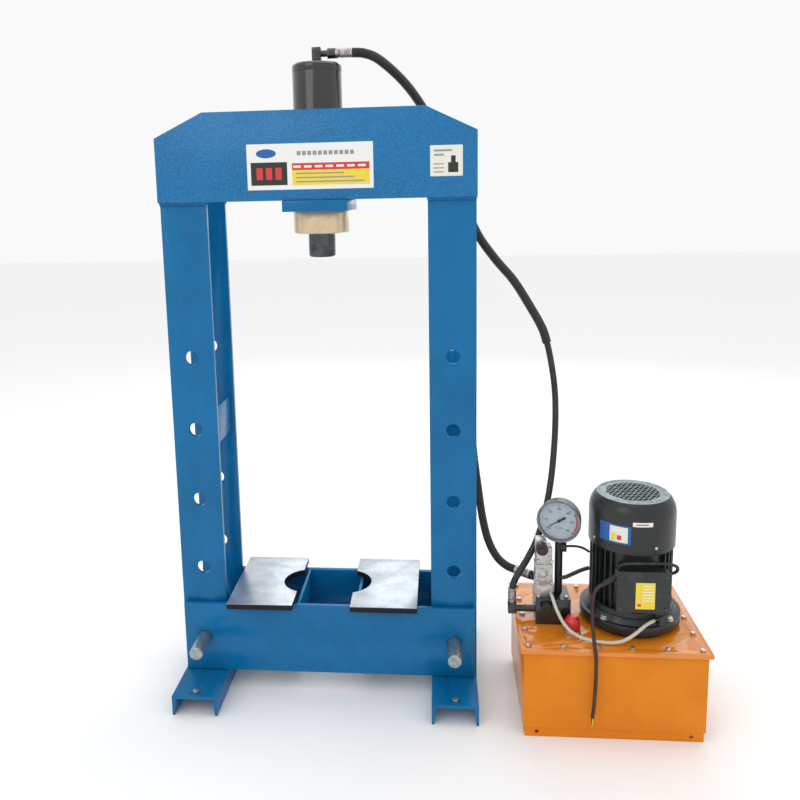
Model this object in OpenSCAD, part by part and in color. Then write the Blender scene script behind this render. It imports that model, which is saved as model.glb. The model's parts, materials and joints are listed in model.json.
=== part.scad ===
// Hydraulic shop press with a free-standing electric power unit.
// Frame: +Z up, +Y to the back, origin on the floor under the middle of the whole footprint.

/* [Frame] */
// Half of the width over the uprights
frame_half_w = 400; // [360:1:440]
// Width of each upright
post_w = 120; // [100:1:130]
// Thickness of the upright plates
post_t = 12; // [10:1:14]
// Depth over both plates of an upright
post_d = 194; // [186:1:198]
// Height of the crown's lower edge
crown_z = 1330; // [1300:1:1360]
// Height of the crown plates
crown_h = 220; // [200:1:240]
// Thickness of the crown plates
crown_t = 14; // [10:1:16]
// Height of the sloping crown corners
crown_slope_h = 60; // [40:1:80]
// Width of the sloping crown corners
crown_slope_w = 125; // [90:1:130]
// Height of the foot channels
foot_h = 53; // [48:1:60]
// Length of the foot channels
foot_l = 484; // [440:1:500]

/* [Press bed] */
// Radius of the bed pins
pin_r = 18; // [16:0.5:20]
// Height of the lowest pin holes
pin_z = 152; // [150:1:156]
// Distance between pin holes
hole_pitch = 194; // [180:1:196]
// Number of pin holes in each upright
hole_levels = 5; // [4:1:5]
// Height of the bed's upper edge
bed_top = 250; // [240:1:260]
// Thickness of the bed plates
bed_t = 14; // [10:1:16]
// Thickness of the loose bench plates
bench_t = 16; // [12:1:20]
// Width of a bench plate
bench_w = 178; // [160:1:180]
// Depth of a bench plate
bench_d = 290; // [270:1:300]

/* [Cylinder] */
// Radius of the cylinder barrel
barrel_r = 64; // [60:1:68]
// Radius of the ram
ram_r = 35; // [30:1:38]
// Height of the cylinder's upper end
barrel_top = 1672; // [1650:1:1690]
// Height of the ram's nose when drawn in
nose_z = 1182; // [1170:1:1190]

/* [Power unit] */
// Width of the oil tank
tank_w = 440; // [420:2:460]
// Depth of the oil tank
tank_d = 340; // [320:2:360]
// Height of the lid's upper face
lid_z = 236; // [220:1:250]
// Radius of the motor's finned frame
motor_r = 102; // [98:1:104]
// Radius of the pressure gauge's case
gauge_r = 52; // [45:1:55]

/* [Hidden] */
$fn = 64;
eps = 0.02;
press_x = -275;
press_y = 20;
unit_x = 452;
unit_y = -84;
post_in = frame_half_w - post_w;
post_x = frame_half_w - post_w / 2;
post_y = post_d / 2;
post_top = crown_z + crown_h - crown_slope_h;
crown_half_w = frame_half_w + 2;
crown_y = post_y + crown_t;
crown_top = crown_z + crown_h;
hole_r = pin_r + 0.5;
batten_z = 684;
batten_h = 100;
bed_half_w = frame_half_w - 5;
bed_gap = 4;
bed_y = post_y + bed_gap + bed_t;
bed_bottom = 55;
cross_x = 76;
pin_front = 90;
pin_back = 15;
bolster_half_w = 82;
bolster_y = 118;
bolster_t = 28;
ring_r = 72;
ring_z = crown_z - bolster_t;
ring_h = 58;
bore_r = 50;
lip_r = 42;
barrel_z = ring_z - ring_h + 18;
cap_t = 22;
piston_top = barrel_top - cap_t - 4;
piston_h = 50;
rod_top = piston_top - 6;
rod_port_z = 1400;
bench_left_x = -268;
bench_right_x = 65;
notch_r = 69;
notch_off = 23;
lid_t = 10;
lid_over = 8;
tank_wall = 4;
skid_h = 25;
tank_top = lid_z - lid_t;
motor_x = 68;
flange_r = 125;
adapter_h = 14;
flange_z = lid_z + adapter_h;
frame_z = flange_z + 50;
frame_top = 478;
cowl_z = 452;
cowl_r = 107;
cowl_top = 580;
shaft_r = 14;
block_x = -178;
block_y = -52;
block_w = 88;
block_d = 80;
block_h = 69;
block_top = lid_z + block_h;
valve_x = -157;
riser_x = -116;
riser_y = -6;
gauge_z = 507;
gauge_turn = -18;
gauge_depth = 40;
switch_h = 141;
box_front = 132;
box_back = 100;
box_z = 322;
box_h = 100;
box_w = 124;
port_a = [-235, -12];
port_b = [-160, 18];
port_b_turn = 141;
rod_hose_y = 135;
cap_at = [-91, -84];
knob_at = [-152, -52, 288];

paint = [0.10, 0.36, 0.62];
steel = [0.72, 0.73, 0.74];
orange = [0.88, 0.48, 0.11];
black = [0.08, 0.08, 0.09];
silver = [0.78, 0.78, 0.76];

// ---------- places ----------

module at_press() {
  translate([press_x, press_y, 0]) children();
}

module at_unit() {
  translate([unit_x, unit_y, 0]) children();
}

// A flat shape in X and Z, given a thickness along Y that starts at y0.
module upright(y0, t) {
  translate([0, y0 + t, 0]) rotate([90, 0, 0]) linear_extrude(t) children();
}

module both_sides() {
  children();
  mirror([1, 0, 0]) children();
}

module front_and_back() {
  children();
  mirror([0, 1, 0]) children();
}

module ring(r_out, r_in, h) {
  difference() {
    cylinder(r = r_out, h = h);
    translate([0, 0, -1]) cylinder(r = r_in, h = h + 2);
  }
}

module hex_bolt(r, head_af, head_h, shank_l) {
  cylinder(r = head_af / sqrt(3), h = head_h, $fn = 6);
  translate([0, 0, -shank_l]) cylinder(r = r, h = shank_l + eps, $fn = 24);
}

// ---------- hose routes, in millimetres in the press's own place ----------

hose_a_sleeved_r = 12;
hose_a_bare_r = 8.5;
hose_b_r = 11;
sleeved_end = [600, 92, 930];
hose_a_sleeved_path = [
  [92, 0, 1697], [120, 3, 1695], [150, 14, 1685], [185, 36, 1660], [220, 68, 1628], [250, 104, 1592],
  [280, 132, 1545], [312, 145, 1480], [345, 150, 1400], [375, 149, 1320], [412, 143, 1230],
  [460, 133, 1160], [512, 122, 1098], [560, 108, 1020], [587, 98, 970], sleeved_end
];
hose_a_bare_path = [
  sleeved_end, [612, 84, 870], [620, 70, 800], [620, 50, 725], [614, 25, 650], [602, -8, 570],
  [582, -45, 490], [558, -75, 430], [534, -95, 390], [512, -108, 358], [499, -114, 337], [492, -116, 315]
];
hose_b_path = [
  [79, 135, 1400], [130, 135, 1399], [190, 136, 1392], [248, 140, 1370], [298, 144, 1330],
  [332, 146, 1270], [352, 147, 1190], [364, 145, 1090], [372, 141, 980], [380, 136, 850],
  [391, 129, 720], [402, 117, 600], [414, 99, 505], [424, 74, 434], [438, 43, 379], [459, 10, 345],
  [484, -18, 331], [508, -38, 329]
];
return_path = [
  [588, -156, 318], [589, -166, 316], [592, -177, 307], [599, -190, 290], [609, -203, 272],
  [623, -215, 257], [641, -226, 248], [663, -237, 244], [690, -245, 243], [718, -250, 244],
  [742, -251, 248], [762, -249, 257], [780, -245, 268], [796, -239, 279], [812, -231, 287], [828, -222, 290]
];
return_r = 4.25;
mains_path = [
  [704, -220, 381], [694, -220, 375], [685, -222, 364], [679, -226, 345], [676, -233, 320],
  [675, -247, 292], [675, -265, 267], [675, -280, 252], [676, -290, 237], [677, -292, 220],
  [677, -293, 198], [677, -293, 170], [676, -293, 140], [674, -293, 100], [671, -293, 70]
];
mains_r = 4.5;
switch_cable_path = [
  [629, -110, 430], [641, -110, 431], [655, -109, 430], [668, -108, 427], [680, -107, 421], [690, -106, 414]
];
valve_cable_path = [
  [614, -128, 352], [626, -128, 354], [640, -127, 360], [655, -124, 366], [670, -120, 371], [688, -116, 375]
];

loop_cable_path = [
  [740, -222, 422], [740, -222, 427], [744, -223, 433], [754, -224, 437], [773, -225, 439], [798, -226, 440],
  [828, -225, 440], [853, -224, 439], [868, -222, 436], [878, -219, 430], [881, -215, 421], [877, -212, 413],
  [868, -211, 409], [857, -211, 408]
];

function unit(v) = v / norm(v);
function lane(p, i) =
  i == 0 ? unit(p[1] - p[0]) :
  i == len(p) - 1 ? unit(p[i] - p[i - 1]) :
  unit(unit(p[i + 1] - p[i]) + unit(p[i] - p[i - 1]));
function side(d, hint) = unit(cross(d, hint));
function ring_at(c, d, r, n, hint) =
  let (a = side(d, hint), b = cross(d, a))
  [for (k = [0:n - 1]) c + r * (cos(360 * k / n) * a + sin(360 * k / n) * b)];

// One closed tube swept along a route, with n sides.
module hose(path, r, n = 10, hint = [0.3, 1, 0.1]) {
  m = len(path);
  pts = [for (i = [0:m - 1]) each ring_at(path[i], lane(path, i), r, n, hint)];
  walls = [for (i = [0:m - 2]) for (k = [0:n - 1])
    [i * n + k, i * n + (k + 1) % n, (i + 1) * n + (k + 1) % n, (i + 1) * n + k]];
  first = [for (k = [n - 1:-1:0]) k];
  last = [for (k = [0:n - 1]) (m - 1) * n + k];
  polyhedron(points = pts, faces = concat([first, last], walls), convexity = 10);
}

// ---------- frame ----------

module post_plate() {
  difference() {
    translate([-post_w / 2, foot_h]) square([post_w, post_top - foot_h]);
    for (i = [0:hole_levels - 1]) translate([0, pin_z + i * hole_pitch]) circle(r = hole_r);
  }
}

module post_member(side_x, y0) {
  color(paint) at_press() translate([side_x * post_x, 0, 0]) upright(y0, post_t) post_plate();
}

module left_post_front_plate() { post_member(-1, -post_y); }
module left_post_rear_plate() { post_member(-1, post_y - post_t); }
module right_post_front_plate() { post_member(1, -post_y); }
module right_post_rear_plate() { post_member(1, post_y - post_t); }

// Plates welded between the front and rear plates: one in each upright, two across the crown.
module stiffener_plates() {
  color(paint) at_press() both_sides() {
    translate([post_in + 10, -post_y + post_t, batten_z]) cube([8, post_d - 2 * post_t, batten_h]);
    translate([92, -post_y, crown_z]) cube([12, post_d, crown_h - 5]);
  }
}

module crown_outline() {
  slope_x = crown_half_w - crown_slope_w;
  slope_z = crown_top - crown_slope_h;
  polygon([[-crown_half_w, crown_z], [crown_half_w, crown_z], [crown_half_w, slope_z],
    [slope_x, crown_top], [-slope_x, crown_top], [-crown_half_w, slope_z]]);
}

module crown_front_plate() {
  color(paint) at_press() upright(-crown_y, crown_t) crown_outline();
}

module crown_rear_plate() {
  color(paint) at_press() upright(post_y, crown_t) difference() {
    crown_outline();
    translate([0, rod_port_z]) circle(r = 28);
  }
}

module cylinder_bolster() {
  color(paint) at_press() difference() {
    translate([-bolster_half_w, -bolster_y, ring_z])
      cube([2 * bolster_half_w, 2 * bolster_y, bolster_t]);
    translate([0, 0, ring_z - 1]) cylinder(r = barrel_r + 0.5, h = bolster_t + 2);
  }
}

module foot_section() {
  half = post_w / 2;
  polygon([[-half, 0], [-half, foot_h], [half, foot_h], [half, 0], [half - 6, 0],
    [half - 11, foot_h - 7], [-half + 11, foot_h - 7], [-half + 6, 0]]);
}

foot_bolt_y = foot_l / 2 - 22;

module foot_channels() {
  color(paint) at_press() both_sides() translate([post_x, 0, 0]) difference() {
    upright(-foot_l / 2, foot_l) foot_section();
    front_and_back() translate([0, foot_bolt_y, foot_h - 15]) cylinder(r = 5.5, h = 20);
  }
}

module foot_bolts() {
  color(steel) at_press() both_sides() front_and_back()
    translate([post_x, foot_bolt_y, foot_h]) hex_bolt(5, 16, 7, 12);
}

// Fillet welds: uprights to feet, and crown plates to uprights.
module weld_beads() {
  leg = 13;
  toe = bed_gap - 0.6;
  color(paint) at_press() both_sides() front_and_back() translate([post_in + 1, 0, 0]) {
    translate([0, -post_y, foot_h]) rotate([90, 0, 90]) linear_extrude(post_w - 2)
      polygon([[0, 0], [-toe, 0], [-toe / 2, toe * 0.7], [0, toe]]);
    translate([0, -post_y, crown_z]) rotate([90, 0, 90]) linear_extrude(post_w - 2)
      polygon([[0, 0], [0, -leg], [-leg * 0.6, -leg * 0.6], [-crown_t + 1, 0]]);
  }
}

// ---------- bed ----------

module bed_plate(y0) {
  color(paint) at_press() upright(y0, bed_t) difference() {
    translate([-bed_half_w, bed_bottom]) square([2 * bed_half_w, bed_top - bed_bottom]);
    for (s = [-1, 1]) translate([s * post_x, pin_z]) circle(r = hole_r);
  }
}

module bed_front_plate() { bed_plate(-bed_y); }
module bed_rear_plate() { bed_plate(bed_y - bed_t); }

module bed_cross_plates() {
  inner = bed_y - bed_t;
  color(paint) at_press() both_sides()
    translate([cross_x, -inner, bed_bottom + 10]) cube([8, 2 * inner, bed_top - bed_bottom - 10]);
}

module bed_pin(side_x) {
  len = 2 * bed_y + pin_front + pin_back;
  color(steel) at_press() translate([side_x * post_x, -bed_y - pin_front, pin_z]) rotate([-90, 0, 0]) {
    cylinder(r1 = pin_r - 2, r2 = pin_r, h = 2);
    translate([0, 0, 2]) cylinder(r = pin_r, h = len - 4);
    translate([0, 0, len - 2]) cylinder(r1 = pin_r, r2 = pin_r - 2, h = 2);
  }
}

module left_pin() { bed_pin(-1); }
module right_pin() { bed_pin(1); }

// A loose plate with a round notch in the edge that faces the middle of the bed.
module bench_plate(x0, notch_x) {
  color(silver) at_press() translate([x0, 0, bed_top]) linear_extrude(bench_t) difference() {
    translate([0, -bench_d / 2]) square([bench_w, bench_d]);
    translate([notch_x, 0]) circle(r = notch_r);
  }
}

module left_bench_plate() { bench_plate(bench_left_x, bench_w + notch_off); }
module right_bench_plate() { bench_plate(bench_right_x, -notch_off); }

// ---------- cylinder ----------

module cylinder_barrel() {
  color(black) at_press() difference() {
    translate([0, 0, barrel_z]) cylinder(r = barrel_r, h = barrel_top - cap_t - barrel_z);
    translate([0, 0, barrel_z - 1]) cylinder(r = bore_r, h = barrel_top);
    translate([0, bore_r - 6, rod_port_z]) rotate([-90, 0, 0]) cylinder(r = 6, h = 40);
  }
}

module cylinder_cap() {
  color(black) at_press() translate([0, 0, barrel_top - cap_t]) difference() {
    union() {
      cylinder(r = barrel_r, h = cap_t - 6);
      translate([0, 0, cap_t - 6]) cylinder(r1 = barrel_r, r2 = barrel_r - 6, h = 6);
    }
    translate([0, 0, -1]) cylinder(r = 6, h = cap_t + 2);
  }
}

module gland_ring() {
  color([0.80, 0.70, 0.42]) at_press() translate([0, 0, ring_z - ring_h]) difference() {
    union() {
      cylinder(r1 = ring_r - 3, r2 = ring_r, h = 3);
      translate([0, 0, 3]) cylinder(r = ring_r, h = ring_h - 3);
    }
    translate([0, 0, -1]) cylinder(r = lip_r, h = ring_h + 2);
    translate([0, 0, 18]) cylinder(r = barrel_r + 0.2, h = ring_h);
  }
}

module rod_bush() {
  color([0.72, 0.52, 0.22]) at_press() translate([0, 0, barrel_z + 2]) ring(bore_r - 0.1, ram_r + 0.05, 40);
}

module rod_wiper() {
  color(black) at_press() translate([0, 0, ring_z - ring_h + 3]) ring(lip_r - 0.1, ram_r + 0.1, 9);
}

module ram() {
  color(black) at_press() translate([0, 0, nose_z]) {
    cylinder(r1 = ram_r - 4, r2 = ram_r, h = 4);
    translate([0, 0, 4]) cylinder(r = ram_r, h = piston_top - piston_h - nose_z - 4);
    translate([0, 0, piston_top - piston_h - nose_z]) cylinder(r = 18, h = rod_top - piston_top + piston_h);
  }
}

module piston() {
  color(steel) at_press() translate([0, 0, piston_top - piston_h]) difference() {
    cylinder(r = bore_r - 0.1, h = piston_h);
    translate([0, 0, -1]) cylinder(r = 18.05, h = piston_h + 2);
    for (z = [12, 32]) translate([0, 0, z]) ring(bore_r + 1, bore_r - 5, 6);
  }
}

module piston_seals() {
  color(black) at_press() for (z = [12, 32])
    translate([0, 0, piston_top - piston_h + z + 0.2]) ring(bore_r - 0.1, bore_r - 4.9, 5.6);
}

// ---------- ports and hoses ----------

port_colour = [0.28, 0.27, 0.26];
ferrule_r = 12.5;

// The cap-end elbow on top of the cylinder, and the rod-end elbow behind the crown.
module port_elbows() {
  color(port_colour) at_press() {
    translate([0, 0, barrel_top]) {
      cylinder(r = 12, h = 10, $fn = 6);
      translate([-11, -11, 10]) cube([22, 22, 30]);
      translate([10, 0, 25]) rotate([0, 90, 0]) cylinder(r = 8, h = 18);
      translate([28, 0, 25]) rotate([0, 90, 0]) cylinder(r = 13, h = 20, $fn = 6);
    }
    translate([0, 0, rod_port_z]) {
      rotate([-90, 0, 0]) translate([0, 0, barrel_r - 2]) cylinder(r = 9, h = rod_hose_y - barrel_r - 7);
      translate([-11, rod_hose_y - 11, -11]) cube([22, 22, 22]);
      translate([11, rod_hose_y, 0]) rotate([0, 90, 0]) cylinder(r = 13, h = 20, $fn = 6);
    }
  }
}

// Crimped sleeves on the ends of both hoses.
module hose_ferrules() {
  color(silver) at_press() {
    translate([48, 0, barrel_top + 25]) rotate([0, 90, 0]) cylinder(r = ferrule_r, h = 44);
    translate([31, rod_hose_y, rod_port_z]) rotate([0, 90, 0]) cylinder(r = ferrule_r, h = 48);
  }
  color(silver) at_unit() {
    translate([port_a[0], port_a[1], 277]) cylinder(r = 11, h = 38);
    translate([port_b[0], port_b[1], block_top + 24]) rotate([0, 0, port_b_turn])
      rotate([0, 90, 0]) translate([0, 0, 28]) cylinder(r = ferrule_r, h = 48);
  }
}

module hose_a() {
  color(black) at_press() {
    hose(hose_a_sleeved_path, hose_a_sleeved_r);
    hose(hose_a_bare_path, hose_a_bare_r);
  }
}

module hose_b() {
  color(black) at_press() hose(hose_b_path, hose_b_r, hint = [0.3, 0.2, 1]);
}

module return_tube() {
  color([0.85, 0.85, 0.78]) at_press() hose(return_path, return_r, 8, [0.1, 0.2, 1]);
}

// ---------- tank ----------

module oil_tank() {
  color(orange) at_unit() translate([-tank_w / 2, -tank_d / 2, skid_h]) difference() {
    cube([tank_w, tank_d, tank_top - skid_h]);
    translate([tank_wall, tank_wall, tank_wall])
      cube([tank_w - 2 * tank_wall, tank_d - 2 * tank_wall, tank_top]);
  }
}

module tank_skids() {
  color(orange) at_unit() front_and_back() translate([-tank_w / 2 + 4, -tank_d / 2 + 3, 0]) difference() {
    cube([tank_w - 8, 40, skid_h]);
    translate([-1, 4, 4]) cube([tank_w, 40, skid_h - 8]);
    for (x = [30, tank_w - 38]) translate([x, -1, skid_h / 2]) rotate([-90, 0, 0]) cylinder(r = 5, h = 6);
  }
}

lid_bolt_y = tank_d / 2 - 12;
lid_bolt_x = tank_w / 2 - 12;
lid_bolts_at = concat(
  [for (i = [0:5]) for (s = [-1, 1]) [-lid_bolt_x + i * lid_bolt_x * 2 / 5, s * lid_bolt_y]],
  [for (j = [-1:1]) for (s = [-1, 1]) [s * lid_bolt_x, j * lid_bolt_y / 2]]
);

module tank_lid() {
  color(orange) at_unit() difference() {
    translate([-tank_w / 2 - lid_over, -tank_d / 2 - lid_over, tank_top])
      cube([tank_w + 2 * lid_over, tank_d + 2 * lid_over, lid_t]);
    translate([motor_x, 0, tank_top - 1]) cylinder(r = 70, h = lid_t + 2);
    translate([cap_at[0], cap_at[1], tank_top - 1]) cylinder(r = 15, h = lid_t + 2);
    for (p = lid_bolts_at) translate([p[0], p[1], tank_top - 1]) cylinder(r = 3.3, h = lid_t + 2, $fn = 24);
  }
}

module lid_bolts() {
  color(steel) at_unit() for (p = lid_bolts_at) translate([p[0], p[1], lid_z]) hex_bolt(3, 12, 5, lid_t - 1);
}

module filler_neck() {
  color(silver) at_unit() translate([cap_at[0], cap_at[1], 0]) {
    translate([0, 0, tank_top - 30]) ring(14.8, 12.5, 30 + lid_t);
    translate([0, 0, lid_z]) ring(21, 12.5, 8);
  }
}

module filler_cap() {
  color([0.75, 0.08, 0.08]) at_unit() translate([cap_at[0], cap_at[1], lid_z + 8.4]) {
    cylinder(r = 20, h = 26);
    translate([0, 0, 26]) cylinder(r1 = 20, r2 = 15, h = 5);
    translate([0, 0, 31]) cylinder(r = 15, h = 3);
  }
}

// ---------- motor ----------

module at_motor(z) {
  at_unit() translate([motor_x, 0, z]) children();
}

module motor_flange() {
  color(black) at_press() {
    translate([845, -211, 268]) cylinder(r = 6, h = 28);
    translate([845, -211, 290]) rotate([0, 0, 213]) rotate([0, 90, 0]) cylinder(r = 3.5, h = 20.2);
  }
  color(black) at_motor(lid_z) difference() {
    union() {
      cylinder(r = 108, h = adapter_h);
      translate([0, 0, adapter_h]) cylinder(r = flange_r, h = 22);
      translate([0, 0, adapter_h + 22]) cylinder(r1 = 116, r2 = 108, h = 14);
      translate([0, 0, adapter_h + 36]) cylinder(r = 105, h = 14);
    }
    translate([0, 0, -1]) cylinder(r = 55, h = 40);
    translate([0, 0, 38]) cylinder(r = bearing_r + 4, h = 40);
  }
}

// Cast shell with upright cooling fins and a flat pad for the terminal box.
module motor_frame() {
  h = frame_top - frame_z;
  color(black) at_motor(frame_z) difference() {
    union() {
      cylinder(r = motor_r - 12, h = h);
      for (a = [0:10:350]) if (a < 235 || a > 305) rotate([0, 0, a])
        translate([motor_r - 20, -1.6, 0]) cube([20, 3.2, h]);
      translate([-48, -box_back, 15]) cube([96, 30, 110]);
    }
    translate([0, 0, -1]) cylinder(r = 82, h = h + 2);
  }
}

bearing_r = 20;
bearing_h = 12;

module motor_end_shield() {
  color(black) at_motor(frame_top) ring(88, bearing_r + 0.1, bearing_h);
}

module motor_bearings() {
  color(steel) {
    at_motor(frame_top) ring(bearing_r, shaft_r - 1.95, bearing_h);
    at_motor(lid_z + 40) ring(bearing_r + 3.98, shaft_r + 0.05, 14);
  }
}

module stator_core() {
  color([0.5, 0.45, 0.4]) at_motor(frame_z + 20) ring(81.9, 50, 130);
}

// Shaft, rotor core, coupling sleeve and pump drive gear turn as one.
module motor_rotor() {
  color(steel) at_motor(0) {
    translate([0, 0, 120]) cylinder(r = shaft_r - 6, h = 46);
    translate([0, 0, 166]) cylinder(r = 24, h = 60);
    translate([0, 0, 226]) cylinder(r = shaft_r, h = 104);
    translate([0, 0, 330]) cylinder(r = 49, h = 110);
    translate([0, 0, 440]) cylinder(r = shaft_r - 2, h = 88);
    translate([0, 0, 94]) spur_gear(0);
  }
}

gear_teeth = 10;
gear_pitch_r = 15;

module spur_gear(turn) {
  rotate([0, 0, turn]) linear_extrude(26) union() {
    circle(r = gear_pitch_r - 2);
    for (k = [0:gear_teeth - 1]) rotate(k * 360 / gear_teeth)
      polygon([[10, -2.4], [gear_pitch_r + 1.6, -1.0], [gear_pitch_r + 1.6, 1.0], [10, 2.4]]);
  }
}

module motor_fan() {
  color([0.15, 0.15, 0.16]) at_motor(frame_top + 14) {
    difference() {
      union() {
        cylinder(r = 30, h = 30);
        cylinder(r = 82, h = 4);
        for (a = [0:45:315]) rotate([0, 0, a]) translate([28, -2, 0]) cube([56, 4, 30]);
      }
      translate([0, 0, -1]) cylinder(r = shaft_r - 2, h = 40);
    }
  }
}

module fan_cowl() {
  h = cowl_top - cowl_z;
  shoulder = 34;
  color(black) at_motor(cowl_z) difference() {
    union() {
      cylinder(r = cowl_r, h = h - shoulder);
      translate([0, 0, h - shoulder]) cylinder(r1 = cowl_r, r2 = 90, h = shoulder - 10);
      translate([0, 0, h - 10]) cylinder(r1 = 90, r2 = 84, h = 10);
    }
    translate([0, 0, -1]) cylinder(r = cowl_r - 3, h = h - shoulder + 1);
    translate([0, 0, h - shoulder - eps]) cylinder(r1 = cowl_r - 3, r2 = 80, h = shoulder - 3);
    for (i = [-3:3]) for (j = [-3:3]) if (norm([i, j]) < 3.3)
      translate([i * 20, j * 20, h - 6]) cylinder(r = 7, h = 10, $fn = 24);
  }
}

module terminal_box() {
  color(black) at_unit() translate([motor_x - box_w / 2, -box_front, box_z])
    cube([box_w, box_front - box_back, box_h]);
}

module terminal_box_lid() {
  color(black) at_unit() translate([motor_x - box_w / 2 - 3, -box_front - 8, box_z - 3])
    cube([box_w + 6, 8, box_h + 6]);
}

module cable_gland() {
  color(black) at_press() translate([737, -220, 402]) rotate([0, -122, 0]) {
    cylinder(r = 9, h = 14, $fn = 6);
    translate([0, 0, 14]) cylinder(r1 = 8, r2 = 5.5, h = 25);
  }
}

module mains_cable() {
  color([0.20, 0.05, 0.04]) at_press() hose(mains_path, mains_r, 8, [1, 0.2, 0.1]);
}

module valve_cables() {
  color(black) at_press() {
    hose(switch_cable_path, 3, 8, [0.1, 1, 0.2]);
    hose(valve_cable_path, 5, 8, [0.1, 1, 0.2]);
    hose(loop_cable_path, 4, 8, [0.1, 1, 0.1]);
  }
}

// ---------- pump, under the lid ----------

pump_z = 88;
journal_r = 6;

module pump_body() {
  color([0.6, 0.6, 0.62]) at_motor(pump_z) difference() {
    translate([-28, -26, 0]) cube([56, 82, 50]);
    translate([0, 0, 5]) cylinder(r = gear_pitch_r + 2, h = 28);
    translate([0, 2 * gear_pitch_r, 5]) cylinder(r = gear_pitch_r + 2, h = 28);
    translate([0, 0, 30]) cylinder(r = shaft_r - 5.95, h = 30);
    translate([0, 2 * gear_pitch_r, 1.5]) cylinder(r = journal_r + 0.05, h = 38);
  }
}

module pump_idler_gear() {
  color(steel) at_motor(pump_z + 6) translate([0, 2 * gear_pitch_r, 0]) {
    spur_gear(180 / gear_teeth);
    translate([0, 0, -4]) cylinder(r = journal_r, h = 37);
  }
}

module suction_strainer() {
  color(steel) at_motor(34) translate([-14, 14, 0]) {
    cylinder(r = 24, h = 34);
    translate([0, 0, 34]) cylinder(r = 8, h = pump_z - 68);
  }
}

// ---------- valves and gauge ----------

// Ported block with the two hose connections.
module valve_manifold() {
  color(black) at_unit() {
    difference() {
      translate([block_x, block_y, lid_z]) cube([block_w, block_d, block_h]);
      translate([knob_at[0], knob_at[1] - 1, knob_at[2]]) rotate([-90, 0, 0]) cylinder(r = 8, h = 26);
    }
    translate([block_x, port_a[1], 259]) rotate([0, -90, 0]) cylinder(r = 9, h = 48);
    translate([port_a[0] - 11, port_a[1] - 11, 248]) cube([22, 22, 22]);
    translate([port_a[0], port_a[1], 269]) cylinder(r = 12, h = 8, $fn = 6);
    translate([port_b[0], port_b[1], block_top - 1]) cylinder(r = 9, h = 16);
    translate([port_b[0], port_b[1], block_top + 24]) rotate([0, 0, port_b_turn]) {
      translate([-10, -10, -10]) cube([20, 20, 20]);
      translate([10, 0, 0]) rotate([0, 90, 0]) cylinder(r = 13, h = 18, $fn = 6);
    }
  }
}

coil_z = 138;

// Valve body with its solenoid facing forwards and a barb for the return tube.
module directional_valve() {
  color(silver) at_unit() translate([valve_x, -16, block_top]) difference() {
    union() {
      translate([-22, -24, 0]) cube([44, 40, 90]);
      translate([-20, -24, 90]) cube([40, 38, 46]);
      translate([-8, -23, coil_z]) rotate([90, 0, 0]) cylinder(r = 15, h = 31);
      translate([-20, -24, 136]) cube([26, 38, 18]);
      translate([18, -23, 13]) rotate([90, 0, 0]) cylinder(r = 4, h = 13);
    }
    translate([-8, -40, coil_z]) rotate([-90, 0, 0]) cylinder(r = 8, h = 50);
  }
}

module valve_spool() {
  color(steel) at_unit() translate([valve_x - 8, -50, block_top + coil_z]) rotate([-90, 0, 0])
    cylinder(r = 7.9, h = 36);
}

module relief_knob() {
  color([0.2, 0.2, 0.22]) at_unit() translate([knob_at[0], knob_at[1] + 18, knob_at[2]]) rotate([90, 0, 0]) {
    cylinder(r = 7.9, h = 24);
    translate([0, 0, 20]) cylinder(r = 14, h = 16);
  }
}

// Upright pressure switch; its cable leaves on the right, and the gauge stands on it.
module pressure_switch() {
  color(black) at_unit() translate([riser_x, riser_y, block_top]) {
    cylinder(r = 10, h = switch_h);
    translate([2, 0, switch_h - 16]) rotate([0, 90, 0]) cylinder(r = 14, h = 16);
  }
}

module at_gauge() {
  at_unit() translate([riser_x, riser_y - 8, gauge_z]) rotate([0, 0, gauge_turn]) rotate([90, 0, 0])
    children();
}

module pressure_gauge() {
  color(silver) {
    at_unit() translate([riser_x, riser_y, block_top + switch_h]) cylinder(r = 7, h = 20);
    at_gauge() translate([0, 0, -gauge_depth / 2]) difference() {
      union() {
        cylinder(r = gauge_r, h = gauge_depth - 4);
        translate([0, 0, gauge_depth - 8]) cylinder(r = gauge_r + 4, h = 8);
      }
      translate([0, 0, gauge_depth - 9]) cylinder(r = gauge_r - 2, h = 12);
    }
  }
}

module gauge_needle() {
  color(black) at_gauge() translate([0, 0, gauge_depth / 2 - 8.7]) rotate([0, 0, 214]) {
    cylinder(r = 5, h = 4.7);
    translate([-20, -1.2, 2.4]) cube([60, 2.4, 1.4]);
  }
}

left_post_front_plate();
left_post_rear_plate();
right_post_front_plate();
right_post_rear_plate();
stiffener_plates();
crown_front_plate();
crown_rear_plate();
cylinder_bolster();
foot_channels();
foot_bolts();
weld_beads();
bed_front_plate();
bed_rear_plate();
bed_cross_plates();
left_pin();
right_pin();
left_bench_plate();
right_bench_plate();
cylinder_barrel();
cylinder_cap();
gland_ring();
rod_bush();
rod_wiper();
ram();
piston();
piston_seals();
port_elbows();
hose_ferrules();
hose_a();
hose_b();
return_tube();
oil_tank();
tank_skids();
tank_lid();
lid_bolts();
filler_neck();
filler_cap();
motor_flange();
motor_frame();
motor_end_shield();
motor_bearings();
stator_core();
motor_rotor();
motor_fan();
fan_cowl();
terminal_box();
terminal_box_lid();
cable_gland();
mains_cable();
valve_cables();
pump_body();
pump_idler_gear();
suction_strainer();
valve_manifold();
directional_valve();
valve_spool();
relief_knob();
pressure_switch();
pressure_gauge();
gauge_needle();
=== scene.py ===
import json
import math
import random

import bpy
from mathutils import Matrix, Vector

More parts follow.
